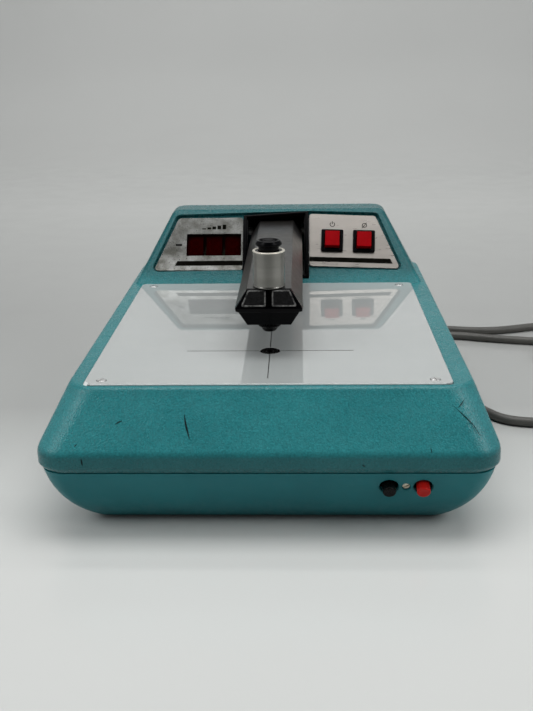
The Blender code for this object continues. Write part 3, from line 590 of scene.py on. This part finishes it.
def smooth_line(route, spacing):
    """Points about a spacing apart on one smooth curve through the route's own points."""
    points = [Vector(p) for p in route]
    points = [2 * points[0] - points[1], *points, 2 * points[-1] - points[-2]]
    fine = []
    for p0, p1, p2, p3 in zip(points, points[1:], points[2:], points[3:]):
        t1 = (p1 - p0).length ** 0.5
        t2 = t1 + (p2 - p1).length ** 0.5
        t3 = t2 + (p3 - p2).length ** 0.5
        for k in range(20):
            t = t1 + (t2 - t1) * k / 20
            a1 = p0.lerp(p1, t / t1)
            a2 = p1.lerp(p2, (t - t1) / (t2 - t1))
            a3 = p2.lerp(p3, (t - t2) / (t3 - t2))
            before, after = a1.lerp(a2, t / t2), a2.lerp(a3, (t - t1) / (t3 - t1))
            fine.append(before.lerp(after, (t - t1) / (t2 - t1)))
    fine.append(points[-2])
    along = [0.0]
    for a, b in zip(fine, fine[1:]):
        along.append(along[-1] + (b - a).length)
    count = round(along[-1] / spacing)
    line, i = [], 0
    for k in range(count + 1):
        at = along[-1] * k / count
        while i < len(along) - 2 and along[i + 1] < at:
            i += 1
        line.append(fine[i].lerp(fine[i + 1], (at - along[i]) / (along[i + 1] - along[i])))
    return line, along[-1]


def direction(line, i):
    """Which way the line goes at its point i."""
    return (line[min(i + 1, len(line) - 1)] - line[max(i - 1, 0)]).normalized()


def add_lead():
    turns = [coil_point(LEAD_IN - a) for a in range(12, int(LEAD_IN - COIL_EXIT) + 1, 10)]
    nose = PLUG @ Vector((0, 5, 0))
    mouth = PLUG @ Vector((0, -4, 0))
    line, length = smooth_line([CORD_START, CORD_START + OUT * 8, *CORD_ROUTE, *turns, mouth, nose], 4.0)
    curve = bpy.data.curves.new("mains_lead", "CURVE")
    curve.dimensions = "3D"
    curve.bevel_depth = CORD_RADIUS * MM
    curve.bevel_resolution = 6
    curve.use_fill_caps = True
    spline = curve.splines.new("POLY")
    spline.points.add(len(line) - 1)
    for point, where in zip(spline.points, line):
        point.co = (*(where * MM), 1)
    spline.use_smooth = True
    curve.materials.append(cord_grey)
    lead = link("mains_lead", curve)
    settle(lead, "cord_grey", "mains_cord", "cord_coil")
    add_relief()
    add_plug()


def add_relief():
    """A flange on the wall, then a ribbed sleeve that tapers to the lead."""
    profile = [(0, -7), (5.6, -7), (5.6, 0.8), (8, 0.8), (8, 2.9), (7.6, 3.2), (6.4, 3.4)]
    ribs = 8
    for k in range(ribs):
        z = 4.6 + k * 3.3
        radius = 6.2 - 1.7 * k / ribs
        profile += [(radius, z), (radius, z + 1.7), (radius - 0.9, z + 2.1), (radius - 0.9, z + 2.9)]
    profile += [(4.4, 31.2), (4.2, 32), (0, 32)]
    sleeve = lathe(profile, 0.25, 2, 28, -LEAD_X)
    piece("relief_sleeve", sleeve, rubber, "black_gloss", "strain_relief", at=REAR)


def add_plug():
    """A moulded plug: ribbed neck, waisted grip, and three pins."""
    neck = [(0, 0), (4.1, 0), (4.4, 0.6)]
    for k in range(4):
        z = 2.0 + k * 3.0
        rib, groove = 4.5 + 0.3 * k, 3.9 + 0.3 * k
        neck += [(rib, z), (rib, z + 1.3), (groove, z + 1.6), (groove, z + 2.6)]
    neck += [(5.6, 14.4), (0, 14.4)]
    levels = []
    for y, wide, high in ((13, 7.0, 8.0), (15, 9.0, 10.2), (19, 9.6, 10.6), (24, 8.8, 9.8), (29, 9.4, 10.6),
                          (32, 10.8, 11.9), (35, 11.0, 12.0), (36, 10.6, 11.6)):
        levels.append((rounded(centred(wide, high), 3.4, 5), y))
    shapes = [along_y(lathe(neck, 0.3, 2, 28)), along_y(stack(levels))]
    plug = piece("plug_body", merged(*shapes), rubber, "cord_grey", "mains_plug", at=PLUG)
    pins = []
    for side in (-1, 1):
        blade = rounded(rectangle(side * 6.3 - 0.75, side * 6.3 + 0.75, -1.2, 5.2), 0.3, 2)
        pins.append(along_y(stack([(blade, 35), (blade, 50.8), (inset(blade, 0.25), 52)])))
    ground = [(0, 35), (2.4, 35), (2.4, 52), (1.6, 53.4), (0, 54)]
    pins.append(shifted(along_y(lathe(ground, 0.6, 3, 20)), 0, 0, -6.5))
    return [plug, piece("plug_pins", merged(*pins), brass, "cord_grey", at=PLUG)]


add_camera()
add_lead()


# ---- case

def case_rings(wall, low):
    """Rings up the case's outside, moved in by a wall: lip, slope and the edge of the deck."""
    line = [(2.0, 2.0, low, 15), (0, 0, 42.8, 15), (0, 0, LIP_Z, 15), (15.0, SLOPE_RUN, DECK_Z - wall, 17),
            (33, 38, DECK_Z - wall, 12)]
    rings = []
    for dx, dy, z, corner in soften(line, (1.2, 3.0, 2.4), 5):
        x, y = HALF_WIDTH - wall - dx, HALF_DEPTH - wall - dy
        lean = DECK_SHIFT * max(0.0, z - LIP_Z) / (DECK_Z - LIP_Z)
        rings.append([(px + lean, py, z) for px, py in rounded(centred(x, y), corner, 8)])
    return rings


def console_block(shrink=0.0, face=0.0, low=79.0, high=134.0):
    """The console: four leaning sides that are moved in by shrink, its face by its own distance."""
    rings = []
    for z in (low, high):
        up = (z - 82.5) / 51.5
        x = 111.0 - 28.0 * up - shrink * 1.13
        y0 = 76 + (z - 81) * 39.3 / 53 + face * 1.245
        y1 = 160.4 - 17.4 * up - shrink * 1.06
        rings.append([(px + CONSOLE_SHIFT, py, z) for px, py in rectangle(-x, x, y0, y1)])
    return loft(rings)


def upright(edge):
    a, b = edge.verts
    return abs(a.co.z - b.co.z) > 10


def rounded_console():
    bm = console_block()
    rear = [e for e in bm.edges if upright(e) and min(v.co.y for v in e.verts) > 140]
    bmesh.ops.bevel(bm, geom=rear, offset=8, segments=8, profile=0.5, affect="EDGES")
    outer = [e for e in bm.edges if min(v.co.z for v in e.verts) > 133]
    outer += [e for e in bm.edges if upright(e) and max(v.co.y for v in e.verts) < 120]
    bmesh.ops.bevel(bm, geom=outer, offset=3.6, segments=6, profile=0.5, affect="EDGES")
    return bm


POCKET = [(-97.9, -1.6), (25, 0), (98.2, -1.6), (79.6, 47.4), (25, 49.8), (-78.9, 46.8)]
OPENING = [(-90, 8.5), (88, 8.5), (78, 39), (-77.5, 39)]
SLOT = [(-26.0, -8.0), (25.3, -8.0), (25.3, 49.0), (-26.0, 45.6)]


def add_upper_case():
    """A hollow shell, cut for the panels, what is behind them, the arm, the light and the plate."""
    case = make("case_shell", loft(case_rings(0, SEAM_Z)), teal)
    join(case, rounded_console())
    cut(case, loft(case_rings(3, SEAM_Z - 2)))
    cut(case, console_block(3, 7, 70, 131))
    cut(case, opening(POCKET, 4, -1.5, 2.5, 1.3), CONSOLE)
    cut(case, prism(OPENING, -12, 0), CONSOLE)
    cut(case, prism(inset(SLOT, -0.3), -20, 14), CONSOLE)
    cut(case, block(-22.5, 22.5, 90, 125, 99, 126.5))
    cut(case, shifted(prism(circle(6.6), 72, 92), 0, APERTURE_Y))
    gap = 0.25
    x, y0, y1 = PLATE_HALF + gap, PLATE_FRONT - gap, PLATE_REAR + gap
    cut(case, prism(rounded(rectangle(-x, x, y0, y1), 3.7, 8), 81.2, 90))
    settle(case, "teal_plastic", "upper_case")


HULL_START, HULL_SWEEP, HULL_RADIUS = 14, 40.1, 66.2  # the arc that the lower walls curve in along


def hull_point(angle, wall=0.0):
    """How far in from the case's edge the lower wall is, and its height, where it leans by the angle."""
    a, start = math.radians(angle), math.radians(HULL_START)
    reach = 2.2 + HULL_RADIUS * (math.cos(start) - math.cos(a)) + wall * math.cos(a)
    return reach, SEAM_Z - SEAM_GAP - HULL_RADIUS * (math.sin(a) - math.sin(start)) + wall * math.sin(a)


def hull_ring(reach, z):
    """A ring round the lower case, whose corners get sharper on the way down."""
    corner = 14 - 8 * min(1.0, (SEAM_Z - z) / 38)
    x, y = HALF_WIDTH - reach, HALF_DEPTH - reach
    return [(px, py, z) for px, py in rounded(centred(x, y), corner, 8)]


def add_lower_case():
    steps = 16
    angles = [HULL_START + HULL_SWEEP * k / steps for k in range(steps + 1)]
    outer = [hull_ring(*hull_point(a)) for a in angles]
    reach, bottom = hull_point(angles[-1])
    outer.append(hull_ring(reach + 1.2, bottom))
    inner = [hull_ring(r, z) for r, z in (hull_point(a, 3.0) for a in angles) if z > bottom + 3.6]
    inner.append(hull_ring(HALF_WIDTH - max(p[0] for p in inner[-1]) + 1.5, bottom + 3))
    tray = make("case_tray", loft(outer[::-1] + inner), shaded_tray_teal)
    for x, wide, rim, sides in ((BLACK_X, 5.2, 0.5, 36), (RED_X, 5.2, 0.5, 36), (TRIMMER_X, 2.5, 0.3, 28)):
        hole = [(0, -8), (wide, -8), (wide, -rim), (wide + rim, 0), (wide + rim, 6), (0, 6)]
        cut(tray, shifted(turned(hole, sides), x), FRONT)
    cut(tray, shifted(prism(circle(6), -8, 6), -LEAD_X), REAR)
    recess = [(0, 1), (3.7, 1), (3.7, 10), (1.8, 10), (1.8, 50), (0, 50)]
    for x, y in BASE_SCREWS:
        join(tray, shifted(prism(circle(5.5, 24), bottom + 1.5, SEAM_Z - 1), x, y))
        cut(tray, shifted(turned(recess, 24), x, y))
    settle(tray, "teal_plastic", "lower_case")


def add_seam():
    """The tongue between the case's halves, in dark rubber as painted shade for the shadowed gap, so that it
    shows as a dark line.
    """
    outline = centred(HALF_WIDTH - 4.2, HALF_DEPTH - 4.2)
    bm = band(rounded(outline, 11, 8), rounded(inset(outline, 1.6), 9.4, 8), SEAM_Z - 3.5, SEAM_Z + 1, 0.1, 1)
    piece("seam_tongue", bm, rubber, "teal_plastic")


def add_screw(name, stands_for, profile, sides, x, y, slot, angles):
    """A turned screw with its driver's slot, or crossed slots, cut into the head."""
    screw = make(name, lathe(profile, 0.2, 2, sides, x, y), zinc)
    for angle in angles:
        cut(screw, block(*slot), move(x, y) @ turn(angle, "Z"))
    settle(screw, "zinc_steel", stands_for)


def add_fastenings():
    """The screws that hold the case together from below, and the feet."""
    head = [(0, 8.4), (0.9, 8.2), (1.1, 6.9), (2.6, 6.9), (3.2, 7.5), (3.2, 9.6), (1.5, 9.6)]
    head += [(1.5, 60), (0, 60)]
    slot = (-2, 2, -0.35, 0.35, 6, 8)
    for number, (x, y) in enumerate(BASE_SCREWS, 1):
        add_screw(f"base_screw_{number}", f"case_screw_{number}", head, 24, x, y, slot, (0, 90))
    pad = [(0, 0.5), (2.6, 0.5), (3, 0.1), (3.4, 0), (7.2, 0), (7.8, 0.5), (8, 1.8), (0, 1.8)]
    for number, (x, y) in enumerate(FEET, 1):
        foot = lathe(pad, 0.2, 2, 32, x, y)
        piece(f"rubber_foot_{number}", foot, rubber, "foot_rubber", f"foot_{number}")


SCRATCHES = [  # surface, route on it, half width
    (SLOPE, [(-45.4, 22.9), (-44.5, 17.6), (-42.2, 9.0)], 0.5),
    (SLOPE, [(-83.5, 17.4), (-81.4, 18.6), (-79.5, 19.4)], 0.38),
    (SLOPE, [(-105.5, 4.9), (-103.9, 6.6)], 0.28),
    (SLOPE, [(101.2, 27.9), (106.9, 22.3), (112.0, 16.7), (116.0, 10.1)], 0.2),
    (SLOPE, [(104.3, 26.2), (106.2, 28.4), (108.1, 31.2)], 0.2),
    (SLOPE, [(88.6, 4.5), (89.3, 1.0)], 0.22),
    (LIP, [(-101.5, -1.7), (-101.0, -6.0)], 0.45),
    (LIP, [(51.8, -5.6), (53.4, -6.6)], 0.4),
]


def add_scratches():
    """Dark marks on the front, each a thin strip that tapers to both ends."""
    strips = []
    for surface, route, width in SCRATCHES:
        line, _ = smooth_line([(x, y, 0) for x, y in route], 0.8)
        bm = bmesh.new()
        rows = []
        for i, p in enumerate(line):
            ahead = direction(line, i)
            wide = width * (0.25 + 0.75 * math.sin(math.pi * i / (len(line) - 1)))
            side = Vector((-ahead.y, ahead.x, 0)) * wide
            corners = ((-1, -0.1), (1, -0.1), (1, 0.02), (-1, 0.02))
            rows.append([bm.verts.new(p + side * s + Vector((0, 0, z))) for s, z in corners])
        for a, b in zip(rows, rows[1:]):
            for i in range(4):
                j = (i + 1) % 4
                bm.faces.new((a[i], a[j], b[j], b[i]))
        bm.faces.new(rows[0])
        bm.faces.new(rows[-1])
        strips.append(set_in(bm, surface))
    piece("scratch_marks", merged(*strips), scratch, "teal_plastic")


# ---- light table

def add_light_table():
    """The white plate with a chipped corner and a painted highlight along its front edge, its screws,
    crosshair and aperture.
    """
    outline = rounded(rectangle(-PLATE_HALF, PLATE_HALF, PLATE_FRONT, PLATE_REAR), 3.5, 8)
    plate = make("light_plate", prism(outline, 81.3, PLATE_Z, 0.4, 4), white)
    chip = move(-102.0, -156.0, 83.0) @ turn(-45, "Z") @ turn(50, "X")
    cut(plate, block(-4, 4, -4, 4, 0, 6), chip)
    piece("plate_chip", block(-1.6, 1.6, -0.8, 1.9, -0.4, 0.05), chip_and_edge_highlight, "white_acrylic", at=chip)
    # A thin strip whose bright white paints the highlight along the plate's front edge.
    edge = soft_block(-99.0, 99.0, PLATE_FRONT - 0.15, PLATE_FRONT + 0.3, 83.1, 83.75, 0.15, 2)
    piece("plate_front_edge", edge, chip_and_edge_highlight, "white_acrylic")
    hole = [(0, 70), (6.2, 70), (6.2, 83.8), (6.4, PLATE_Z), (6.4, 90), (0, 90)]
    cut(plate, shifted(turned(hole, 48), 0, APERTURE_Y))
    sink = [(0, 70), (1.8, 70), (1.8, 82.4), (3, 83.2), (3, 90), (0, 90)]
    head = [(0, 70), (1.5, 70), (1.5, 82.6), (2.7, 83.4), (2.7, 84.1), (2.3, 84.45), (0, 84.5)]
    slot = (-3, 3, -0.32, 0.32, 83.9, 86)
    for number, (x, y) in enumerate(PLATE_SCREWS, 1):
        cut(plate, shifted(turned(sink, 28), x, y))
        add_screw(f"table_screw_{number}", f"plate_screw_{number}", head, 28, x, y, slot, (25 + 37 * number,))
    settle(plate, "white_acrylic", "light_table_plate")
    low, high, line = PLATE_Z - 0.1, PLATE_Z + 0.03, 44.2
    lines = [block(x, x + line, APERTURE_Y - 0.4, APERTURE_Y + 0.4, low, high) for x in (-50.8, 6.6)]
    lines += [block(-0.25, 0.25, y, y + line, low, high) for y in (-147.8, -90.4)]
    piece("crosshair", merged(*lines), ink, "black_gloss")
    disc = [(1.5, 81.4), (5.97, 81.4), (5.97, 83.95), (5.8, 84.05), (4.9, 84.05), (4.7, 83.95), (2.4, 83.95),
            (1.5, 83.2)]
    piece("aperture_ring", lathe(disc, 0.12, 2, 48, 0, APERTURE_Y), satin_black, "black_gloss",
          "aperture_disc")


# ---- console

WINDOW = (-70.8, -27.9, 12.6, 31.2)
DISPLAY_PANEL = [(-96.1, 0), (-26.4, 0), (-26.4, 45.3), (-77.5, 45.3)]
CONTROL_PANEL = [(25.7, 3.1), (96.2, 0.3), (78, 45.9), (25.7, 48.2)]
POWER_AT, NULL_AT = (43.7, 24.4), (68.5, 23.5)


def panel_shape(outline):
    return prism(rounded(outline, 2.5, 6), -1.2, 0, 0.25, 3)


def thin(outline):
    """A printed shape on a panel."""
    return prism(outline, -0.05, 0.03)


def segment(x, y, reach, vertical=False):
    """One bar of a digit: a strip with pointed ends."""
    blunt = reach - 0.7
    line = [(-reach, 0), (-blunt, -0.8), (blunt, -0.8), (reach, 0), (blunt, 0.8), (-blunt, 0.8)]
    if vertical:
        line = [(-v, u) for u, v in line]
    return prism([(x + u, y + v) for u, v in line], -4.0, -3.82)


def add_display():
    panel = make("display_plate", panel_shape(DISPLAY_PANEL), dark_panel, CONSOLE)
    cut(panel, opening(rectangle(*WINDOW), 0.6, -5, 0.0, 0.3, 3), CONSOLE)
    settle(panel, "panel_aluminium", "display_panel")
    bar = thin([(-79.6, 4.0), (-26.6, 4.0), (-26.6, 8.1), (-77.6, 8.1)])
    piece("display_stripe", bar, stripe, "black_gloss", at=CONSOLE)
    steps = [thin(rectangle(-58.8 + 4.0 * k, -55.9 + 4.0 * k, 35.2, 36.2 + 0.75 * k)) for k in range(5)]
    piece("density_mark", merged(*steps), stripe, "black_gloss", at=CONSOLE)
    x0, x1, y0, y1 = WINDOW
    window = soft_block(x0 - 1.6, -26.9, y0 - 2, y1 + 2, -3.5, -1.5, 0.2, 2)
    piece("filter_pane", window, red_filter, "red_filter", "display_window", at=CONSOLE)
    for number in (1, 2, 3):
        x = (x0 + x1) / 2 + (number - 2) * 15
        body = soft_block(x - 6.2, x + 6.2, y0 + 0.6, y1 - 0.6, -10, -3.9, 0.3, 2)
        piece(f"digit_case_{number}", body, digit_body, "digit_red", f"digit_{number}", at=CONSOLE)
        bars = [segment(x, y, 2.9) for y in (16.2, 21.9, 27.6)]
        bars += [segment(x + side, y, 2.3, True) for side in (-3.4, 3.4) for y in (19.05, 24.75)]
        piece(f"digit_bars_{number}", merged(*bars), digit_bar, "digit_red", at=CONSOLE)
    bar = soft_block(-79.4, -74.4, 21, 22.8, -1, 0.15, 0.1, 2)
    sign = merged(bar, block(-80.0, -73.8, 20.2, 23.6, -10, -1.3))
    piece("sign_lens", sign, satin_black, "digit_red", "sign_indicator", at=CONSOLE)


def add_controls():
    panel = make("control_plate", panel_shape(CONTROL_PANEL), light_panel, CONSOLE)
    for name, at in (("power", POWER_AT), ("null", NULL_AT)):
        spot = CONSOLE @ move(*at) @ turn(-2.2, "Z")
        cut(panel, block(-6.9, 6.9, -6.9, 6.9, -5, 5), spot)
        outer, inner = rounded(centred(8.6, 9.3), 1.2, 4), rounded(centred(5.9, 6.65), 0.6, 4)
        bezel = band(outer, inner, 0.02, 1.9, 0.5, 4)
        piece(f"{name}_frame", bezel, gloss_black, "black_gloss", f"{name}_bezel", at=spot)
        cap = prism(rounded(centred(5.6, 6.35), 0.6, 4), -3.5, 5.5, 0.35, 4)
        piece(f"{name}_cap", cap, red, "red_cap", f"{name}_button", body=f"{name}_button", at=spot)
    settle(panel, "panel_aluminium", "control_panel")
    bar = thin([(25.9, 7.1), (90.4, 4.5), (88.6, 8.7), (25.9, 11.0)])
    piece("control_stripe", bar, stripe, "black_gloss", at=CONSOLE)
    x, y = 44.1, 38.7
    arc = [math.radians(a) for a in range(120, 421, 15)]
    ring = [(x + 2.1 * math.cos(a), y + 2.1 * math.sin(a)) for a in arc]
    ring += [(x + 1.55 * math.cos(a), y + 1.55 * math.sin(a)) for a in reversed(arc)]
    power = merged(thin(ring), thin(rectangle(x - 0.28, x + 0.28, y + 0.2, y + 2.6)))
    x, y = 69.3, 37.6
    outer = circle(2.0, 36, (x, y))
    inner = inset(outer, 0.55)
    levels = ((outer, -0.05), (outer, 0.03), (inner, 0.03), (inner, -0.05))
    null = loft([[(*p, z) for p in line] for line, z in levels], closed=True)
    slash = set_in(thin(centred(2.9, 0.27)), move(x, y) @ turn(52, "Z"))
    piece("button_marks", merged(power, null, slash), stripe, "black_gloss", at=CONSOLE)


def add_slot_bezel():
    inner = inset(SLOT, (2.6, 2.6, 2.0, 2.6))
    rim = band(rounded(SLOT, 0.7, 3), rounded(inner, 0.5, 3), -1.4, 3.7, 0.6, 4)
    liner = band(inset(inner, -0.3), inset(inner, 0.8), -12.0, 1.6, 0.25, 2)
    ribs = [soft_block(x - 0.5, x + 0.5, -4.6, 41.6, -1.2, 2.9, 0.25, 2) for x in (-22.9, 22.2)]
    piece("slot_rim", merged(rim, liner, *ribs), gloss_black, "black_gloss", "slot_bezel", at=CONSOLE)


# ---- arm

def hexagon(shrink=0.0):
    outline = [(-13.1, -11), (13.1, -11), (20.3, 0), (13.1, 11), (-13.1, 11), (-20.3, 0)]
    return [(x, z + ARM_Z) for x, z in (inset(outline, shrink) if shrink else outline)]


def add_arm():
    outer, inner = rounded(hexagon(), 1.0, 4), rounded(hexagon(2.0), 0.6, 4)
    ends = [(-104.2, 0.3), (-104.0, 0.08), (-103.8, 0.0), (140, 0.0)]
    rings = [[(x, y, z) for x, z in (inset(outer, d) if d else outer)] for y, d in ends]
    rings += [[(x, y, z) for x, z in inner] for y in (140, -104.2)]
    arm = make("arm_tube", loft(rings, closed=True), arm_metal)
    cut(arm, prism(circle(3.3, 24), -30, 30), move(0, PIVOT_Y, ARM_Z) @ turn(90, "Y"))
    cut(arm, prism(circle(3.3, 24), 90, ARM_Z), HEAD)
    cut(arm, prism(circle(4.3, 24), ARM_Z, 134), HEAD)
    settle(arm, "arm_aluminium", "arm_housing", body="arm")


def wedge():
    """The end cap's body: from the arm's hexagon to a thick ridge across its middle."""
    bm = bmesh.new()
    back = [bm.verts.new((x, -104.5, z)) for x, z in hexagon()]
    low, under, lip, ridge, top = [
        [bm.verts.new((side * x, y, z)) for side in (-1, 1)]
        for x, y, z in ((13.0, -106.9, 103.2), (18.0, -109.3, 111.6), (19.7, -110.4, 112.3),
                        (19.9, -110.5, 114.4), (13.1, -106.1, 124.8))
    ]
    levels = (low, under, lip, ridge, top)
    bm.faces.new(back)
    bm.faces.new((back[0], back[1], low[1], low[0]))
    bm.faces.new((back[3], back[4], top[0], top[1]))
    for side, (foot, mid, head) in enumerate(((0, 5, 4), (1, 2, 3))):
        bm.faces.new((back[foot], back[mid], under[side], low[side]))
        bm.faces.new((back[mid], lip[side], under[side]))
        bm.faces.new((back[mid], ridge[side], lip[side]))
        bm.faces.new((back[mid], back[head], top[side], ridge[side]))
    for a, b in zip(levels, levels[1:]):
        bm.faces.new((a[0], a[1], b[1], b[0]))
    bmesh.ops.recalc_face_normals(bm, faces=bm.faces)
    front = [e for e in bm.edges if max(v.co.y for v in e.verts) < -105]
    bmesh.ops.bevel(bm, geom=front, offset=0.5, segments=4, profile=0.5, affect="EDGES")
    return bm


# The end cap's slopes, as frames: X right, Y up the slope, Z out of it
UPPER_SLOPE = move(0, -110.5, 114.4) @ climb(10.4, 4.4)
LOWER_SLOPE = move(0, -109.3, 111.6) @ climb(8.4, -2.4)


def add_end_cap():
    body = make("end_cap_body", wedge(), gloss_black)
    cut(body, block(-1.5, 1.5, 0.4, 14, -1.6, 3), UPPER_SLOPE)
    cut(body, block(-0.16, 0.16, -9.5, -0.3, -0.3, 2), LOWER_SLOPE)
    settle(body, "black_crinkle", "arm_end_cap", body="arm")
    pads, rims = [], []
    for side in (-1, 1):
        outline = [(1.8, 0.9), (16.6, 0.9), (12.4, 10.7), (1.8, 10.7)]
        if side < 0:
            outline = [(-x, y) for x, y in reversed(outline)]
        pads.append(prism(rounded(outline, 0.9, 4), -0.3, 0.85, 0.3, 3))
        rims.append(band(rounded(outline, 0.9, 4), rounded(inset(outline, 1.0), 0.3, 4), 0.3, 0.95, 0.35, 3))
    piece("end_cap_pads", merged(*pads), crinkle, "black_crinkle", body="arm", at=UPPER_SLOPE)
    piece("end_cap_pad_rims", merged(*rims), rubbed_black, "black_crinkle", body="arm", at=UPPER_SLOPE)
    ribs = [soft_block(-1.4, 1.4, y, y + 0.8, -1.7, -0.5, 0.15, 2) for y in (1.6, 3.2, 4.8, 6.4, 8.0)]
    piece("end_cap_ribs", merged(*ribs), gloss_black, "black_crinkle", body="arm", at=UPPER_SLOPE)


def add_head():
    """What stands on the arm's end: the nose under it, the tube over it and the finger button."""
    nose = [(0, 98.2), (1.5, 97.7), (1.7, 97.6), (3.7, 97.6), (4.4, 98.4), (5.6, 100.2), (7, 101)]
    nose += [(7, 102), (6.6, 102.2), (6.6, 102.5), (7.2, 102.7), (3, 102.7), (3, 107), (0, 107)]
    piece("nose_cone", lathe(nose, 0.3, 3, 40), satin_black, "black_gloss", "measuring_nose", body="arm",
          at=HEAD)
    tube = [(4, 121), (4, 125.3), (9.7, 125.3), (9.7, 125.8), (9.5, 126.2), (9.5, 145.8), (9.6, 146.3)]
    tube += [(6.6, 146.3), (6.6, 133), (2.2, 133), (2.2, 121)]
    piece("sensor_tube", lathe(tube, 0.25, 3, 56), tube_metal, "tube_aluminium", "detector_tube", body="arm",
          at=HEAD)
    # A pale ring on the tube's top whose brightness is a painted highlight.
    rim = [(8.1, 146.2), (9.6, 146.2), (9.7, 146.5), (9.4, 146.9), (8.3, 146.9), (8.1, 146.7)]
    piece("sensor_rim", lathe(rim, 0.2, 3, 56), rim_highlight_metal, "tube_aluminium", body="arm", at=HEAD)
    collar = turned([(6.5, 146.0), (8.3, 146.0), (8.3, 146.6), (6.5, 146.6)], 56)
    piece("sensor_collar", collar, satin_black, "tube_aluminium", body="arm", at=HEAD)
    cap = [(0, 136.2), (6.1, 136.2), (6.1, 149.3), (6.4, 149.6), (7.5, 149.8), (7.9, 150.2), (7.9, 151.3)]
    cap += [(7.5, 151.8), (7, 152.6), (6.6, 152.9), (6, 152.8), (5.4, 152.2), (4.4, 151.5), (2.2, 151.1)]
    cap += [(0, 150.9)]
    piece("finger_cap", lathe(cap, 0.3, 3, 48), gloss_black, "black_gloss", "finger_button",
          body="finger_button", at=HEAD)


def add_spring():
    """The coil that lifts the arm, which in the instrument shortens as the arm comes down."""
    low, high, centre_y, radius, per_turn, count = 88.8, 102.2, 103, 4, 18, 5 * 18
    path = []
    for i in range(count + 1):
        a = 2 * math.pi * i / per_turn
        z = low + (high - low) * i / count
        path.append(Vector((radius * math.cos(a), centre_y + radius * math.sin(a), z)))
    rings = []
    for i, p in enumerate(path):
        ahead = direction(path, i)
        out = Vector((p.x, p.y - centre_y, 0)).normalized()
        over = ahead.cross(out).normalized()
        rings.append([p + (out * x + over * y) * 0.5 for x, y in circle(1, 8)])
    spring = piece("lift_spring", loft(rings), zinc, "zinc_steel", "return_spring")
    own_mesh(spring)


# ---- front wall

def add_front_controls():
    cap = [(0, -6), (3.75, -6), (3.75, 3.75), (3.6, 4.25), (3, 4.65), (2.5, 4.6), (0, 4.5)]
    for name, x, colour, slot in (("front_black", BLACK_X, satin_black, "black_gloss"),
                                  ("front_red", RED_X, front_red, "red_cap")):
        piece(f"{name}_cap", lathe(cap, 0.35, 4, 40, x), colour, slot, f"{name}_button",
              body=f"{name}_button", at=FRONT)
    spot = FRONT @ move(TRIMMER_X)
    slug = [(0, -8), (2.1, -8), (2.1, -0.7), (1.9, -0.5), (0, -0.5)]
    screw = make("trimmer_slug", lathe(slug, 0.15, 2, 28), brass, spot)
    cut(screw, block(-3, 3, -0.42, 0.42, -1.4, 1), spot @ turn(35, "Z"))
    settle(screw, "trimmer_brass", "trimmer_screw", body="trimmer_screw")


# ---- the rest

def dress_inside():
    """CAD nodes that keep their own shape get a finish."""
    kept = {
        satin_black: ["power_switch", "null_switch", "front_black_switch", "front_red_switch", "trimmer_body",
                      "lamp_holder"],
        board: ["display_board", "calibration_board", "main_board"],
        iron: ["transformer_core", "regulator_heatsink"],
        tape: ["transformer_winding", "filter_capacitor"],
        zinc: ["arm_stand", "pivot_pin"],
        tube_metal: ["detector_cell", "light_tube"],
        glass: ["lamp"],
    }
    for material, names in kept.items():
        for name in names:
            NODES[name].data.materials.clear()
            NODES[name].data.materials.append(material)


def add_setting():
    """A pale glossy surface that curves up behind, and soft light from above."""
    # The floor's tones paint the case's shadow: the floor darkens from 120 mm in front of the case's middle
    # to 30 mm behind it, and comes back up between 0.3 m and 0.9 m behind.
    floor = finish("studio_floor", (0.60, 0.61, 0.595), 0.22, other=(0.585, 0.595, 0.58), patch=400,
                   rough_span=0.02, tones=(("Y", -120, 30, 1.0, 0.64), ("Y", 300, 900, 1.0, 1.55)))
    profile = soften([(-3.0, 0.0), (2.2, 0.0), (2.6, 2.6)], 0.9, 14)
    bm = bmesh.new()
    rows = [[bm.verts.new((x, y, z)) for x in (-3.5, 3.5)] for y, z in profile]
    for a, b in zip(rows, rows[1:]):
        bm.faces.new((a[0], a[1], b[1], b[0]))
    mesh = bpy.data.meshes.new("studio_sweep")
    bm.to_mesh(mesh)
    bm.free()
    mesh.shade_smooth()
    mesh.materials.append(floor)
    link("studio_sweep", mesh)
    for name, power, size, where, target in (
        ("overhead", 6.5, (1.0, 0.45), (0.05, -0.08, 1.0), (0.03, -0.10, 0.0)),
        ("left_box", 3.2, (0.5, 0.5), (-0.75, -0.52, 0.74), (0.0, -0.08, 0.05)),
        ("right_box", 3.5, (0.5, 0.5), (0.82, -0.50, 0.74), (0.0, -0.08, 0.05)),
        ("backdrop_light", 21, (2.2, 0.4), (0, 1.0, 1.9), (0, 2.2, 0.3)),
    ):
        light = bpy.data.lights.new(name, "AREA")
        light.shape = "RECTANGLE"
        light.size, light.size_y = size
        light.energy = power
        lamp = link(name, light)
        back = (Vector(where) - Vector(target)).normalized()
        across = (Vector((1, 0, 0)) - back * back.x).normalized()
        axes = Matrix((across, back.cross(across), back)).transposed()
        lamp.matrix_world = move(*where) @ axes.to_4x4()
    world = bpy.data.worlds.new("studio")
    world.use_nodes = True
    tree = world.node_tree
    axes = node(tree, "SeparateXYZ", {"Vector": node(tree, "TexCoord").outputs["Generated"]}).outputs
    sideways = node(tree, "Math", {0: axes["X"]}, operation="ABSOLUTE").outputs[0]
    sides = span(tree, sideways, 0.3, 0.85, 0.02, 0.55)
    top = span(tree, axes["Z"], 0.45, 1.0, 0.0, 0.08)
    total = node(tree, "Math", {0: sides, 1: top}, operation="ADD").outputs[0]
    background = tree.nodes["Background"]
    tree.links.new(total, background.inputs["Strength"])
    background.inputs["Color"].default_value = (0.97, 0.98, 1.0, 1)
    bpy.context.scene.world = world
    bpy.context.scene.view_settings.view_transform = "Standard"


add_upper_case()
add_lower_case()
add_seam()
add_fastenings()
add_scratches()
add_light_table()
add_display()
add_controls()
add_slot_bezel()
add_arm()
add_end_cap()
add_head()
add_spring()
add_front_controls()
dress_inside()
add_setting()
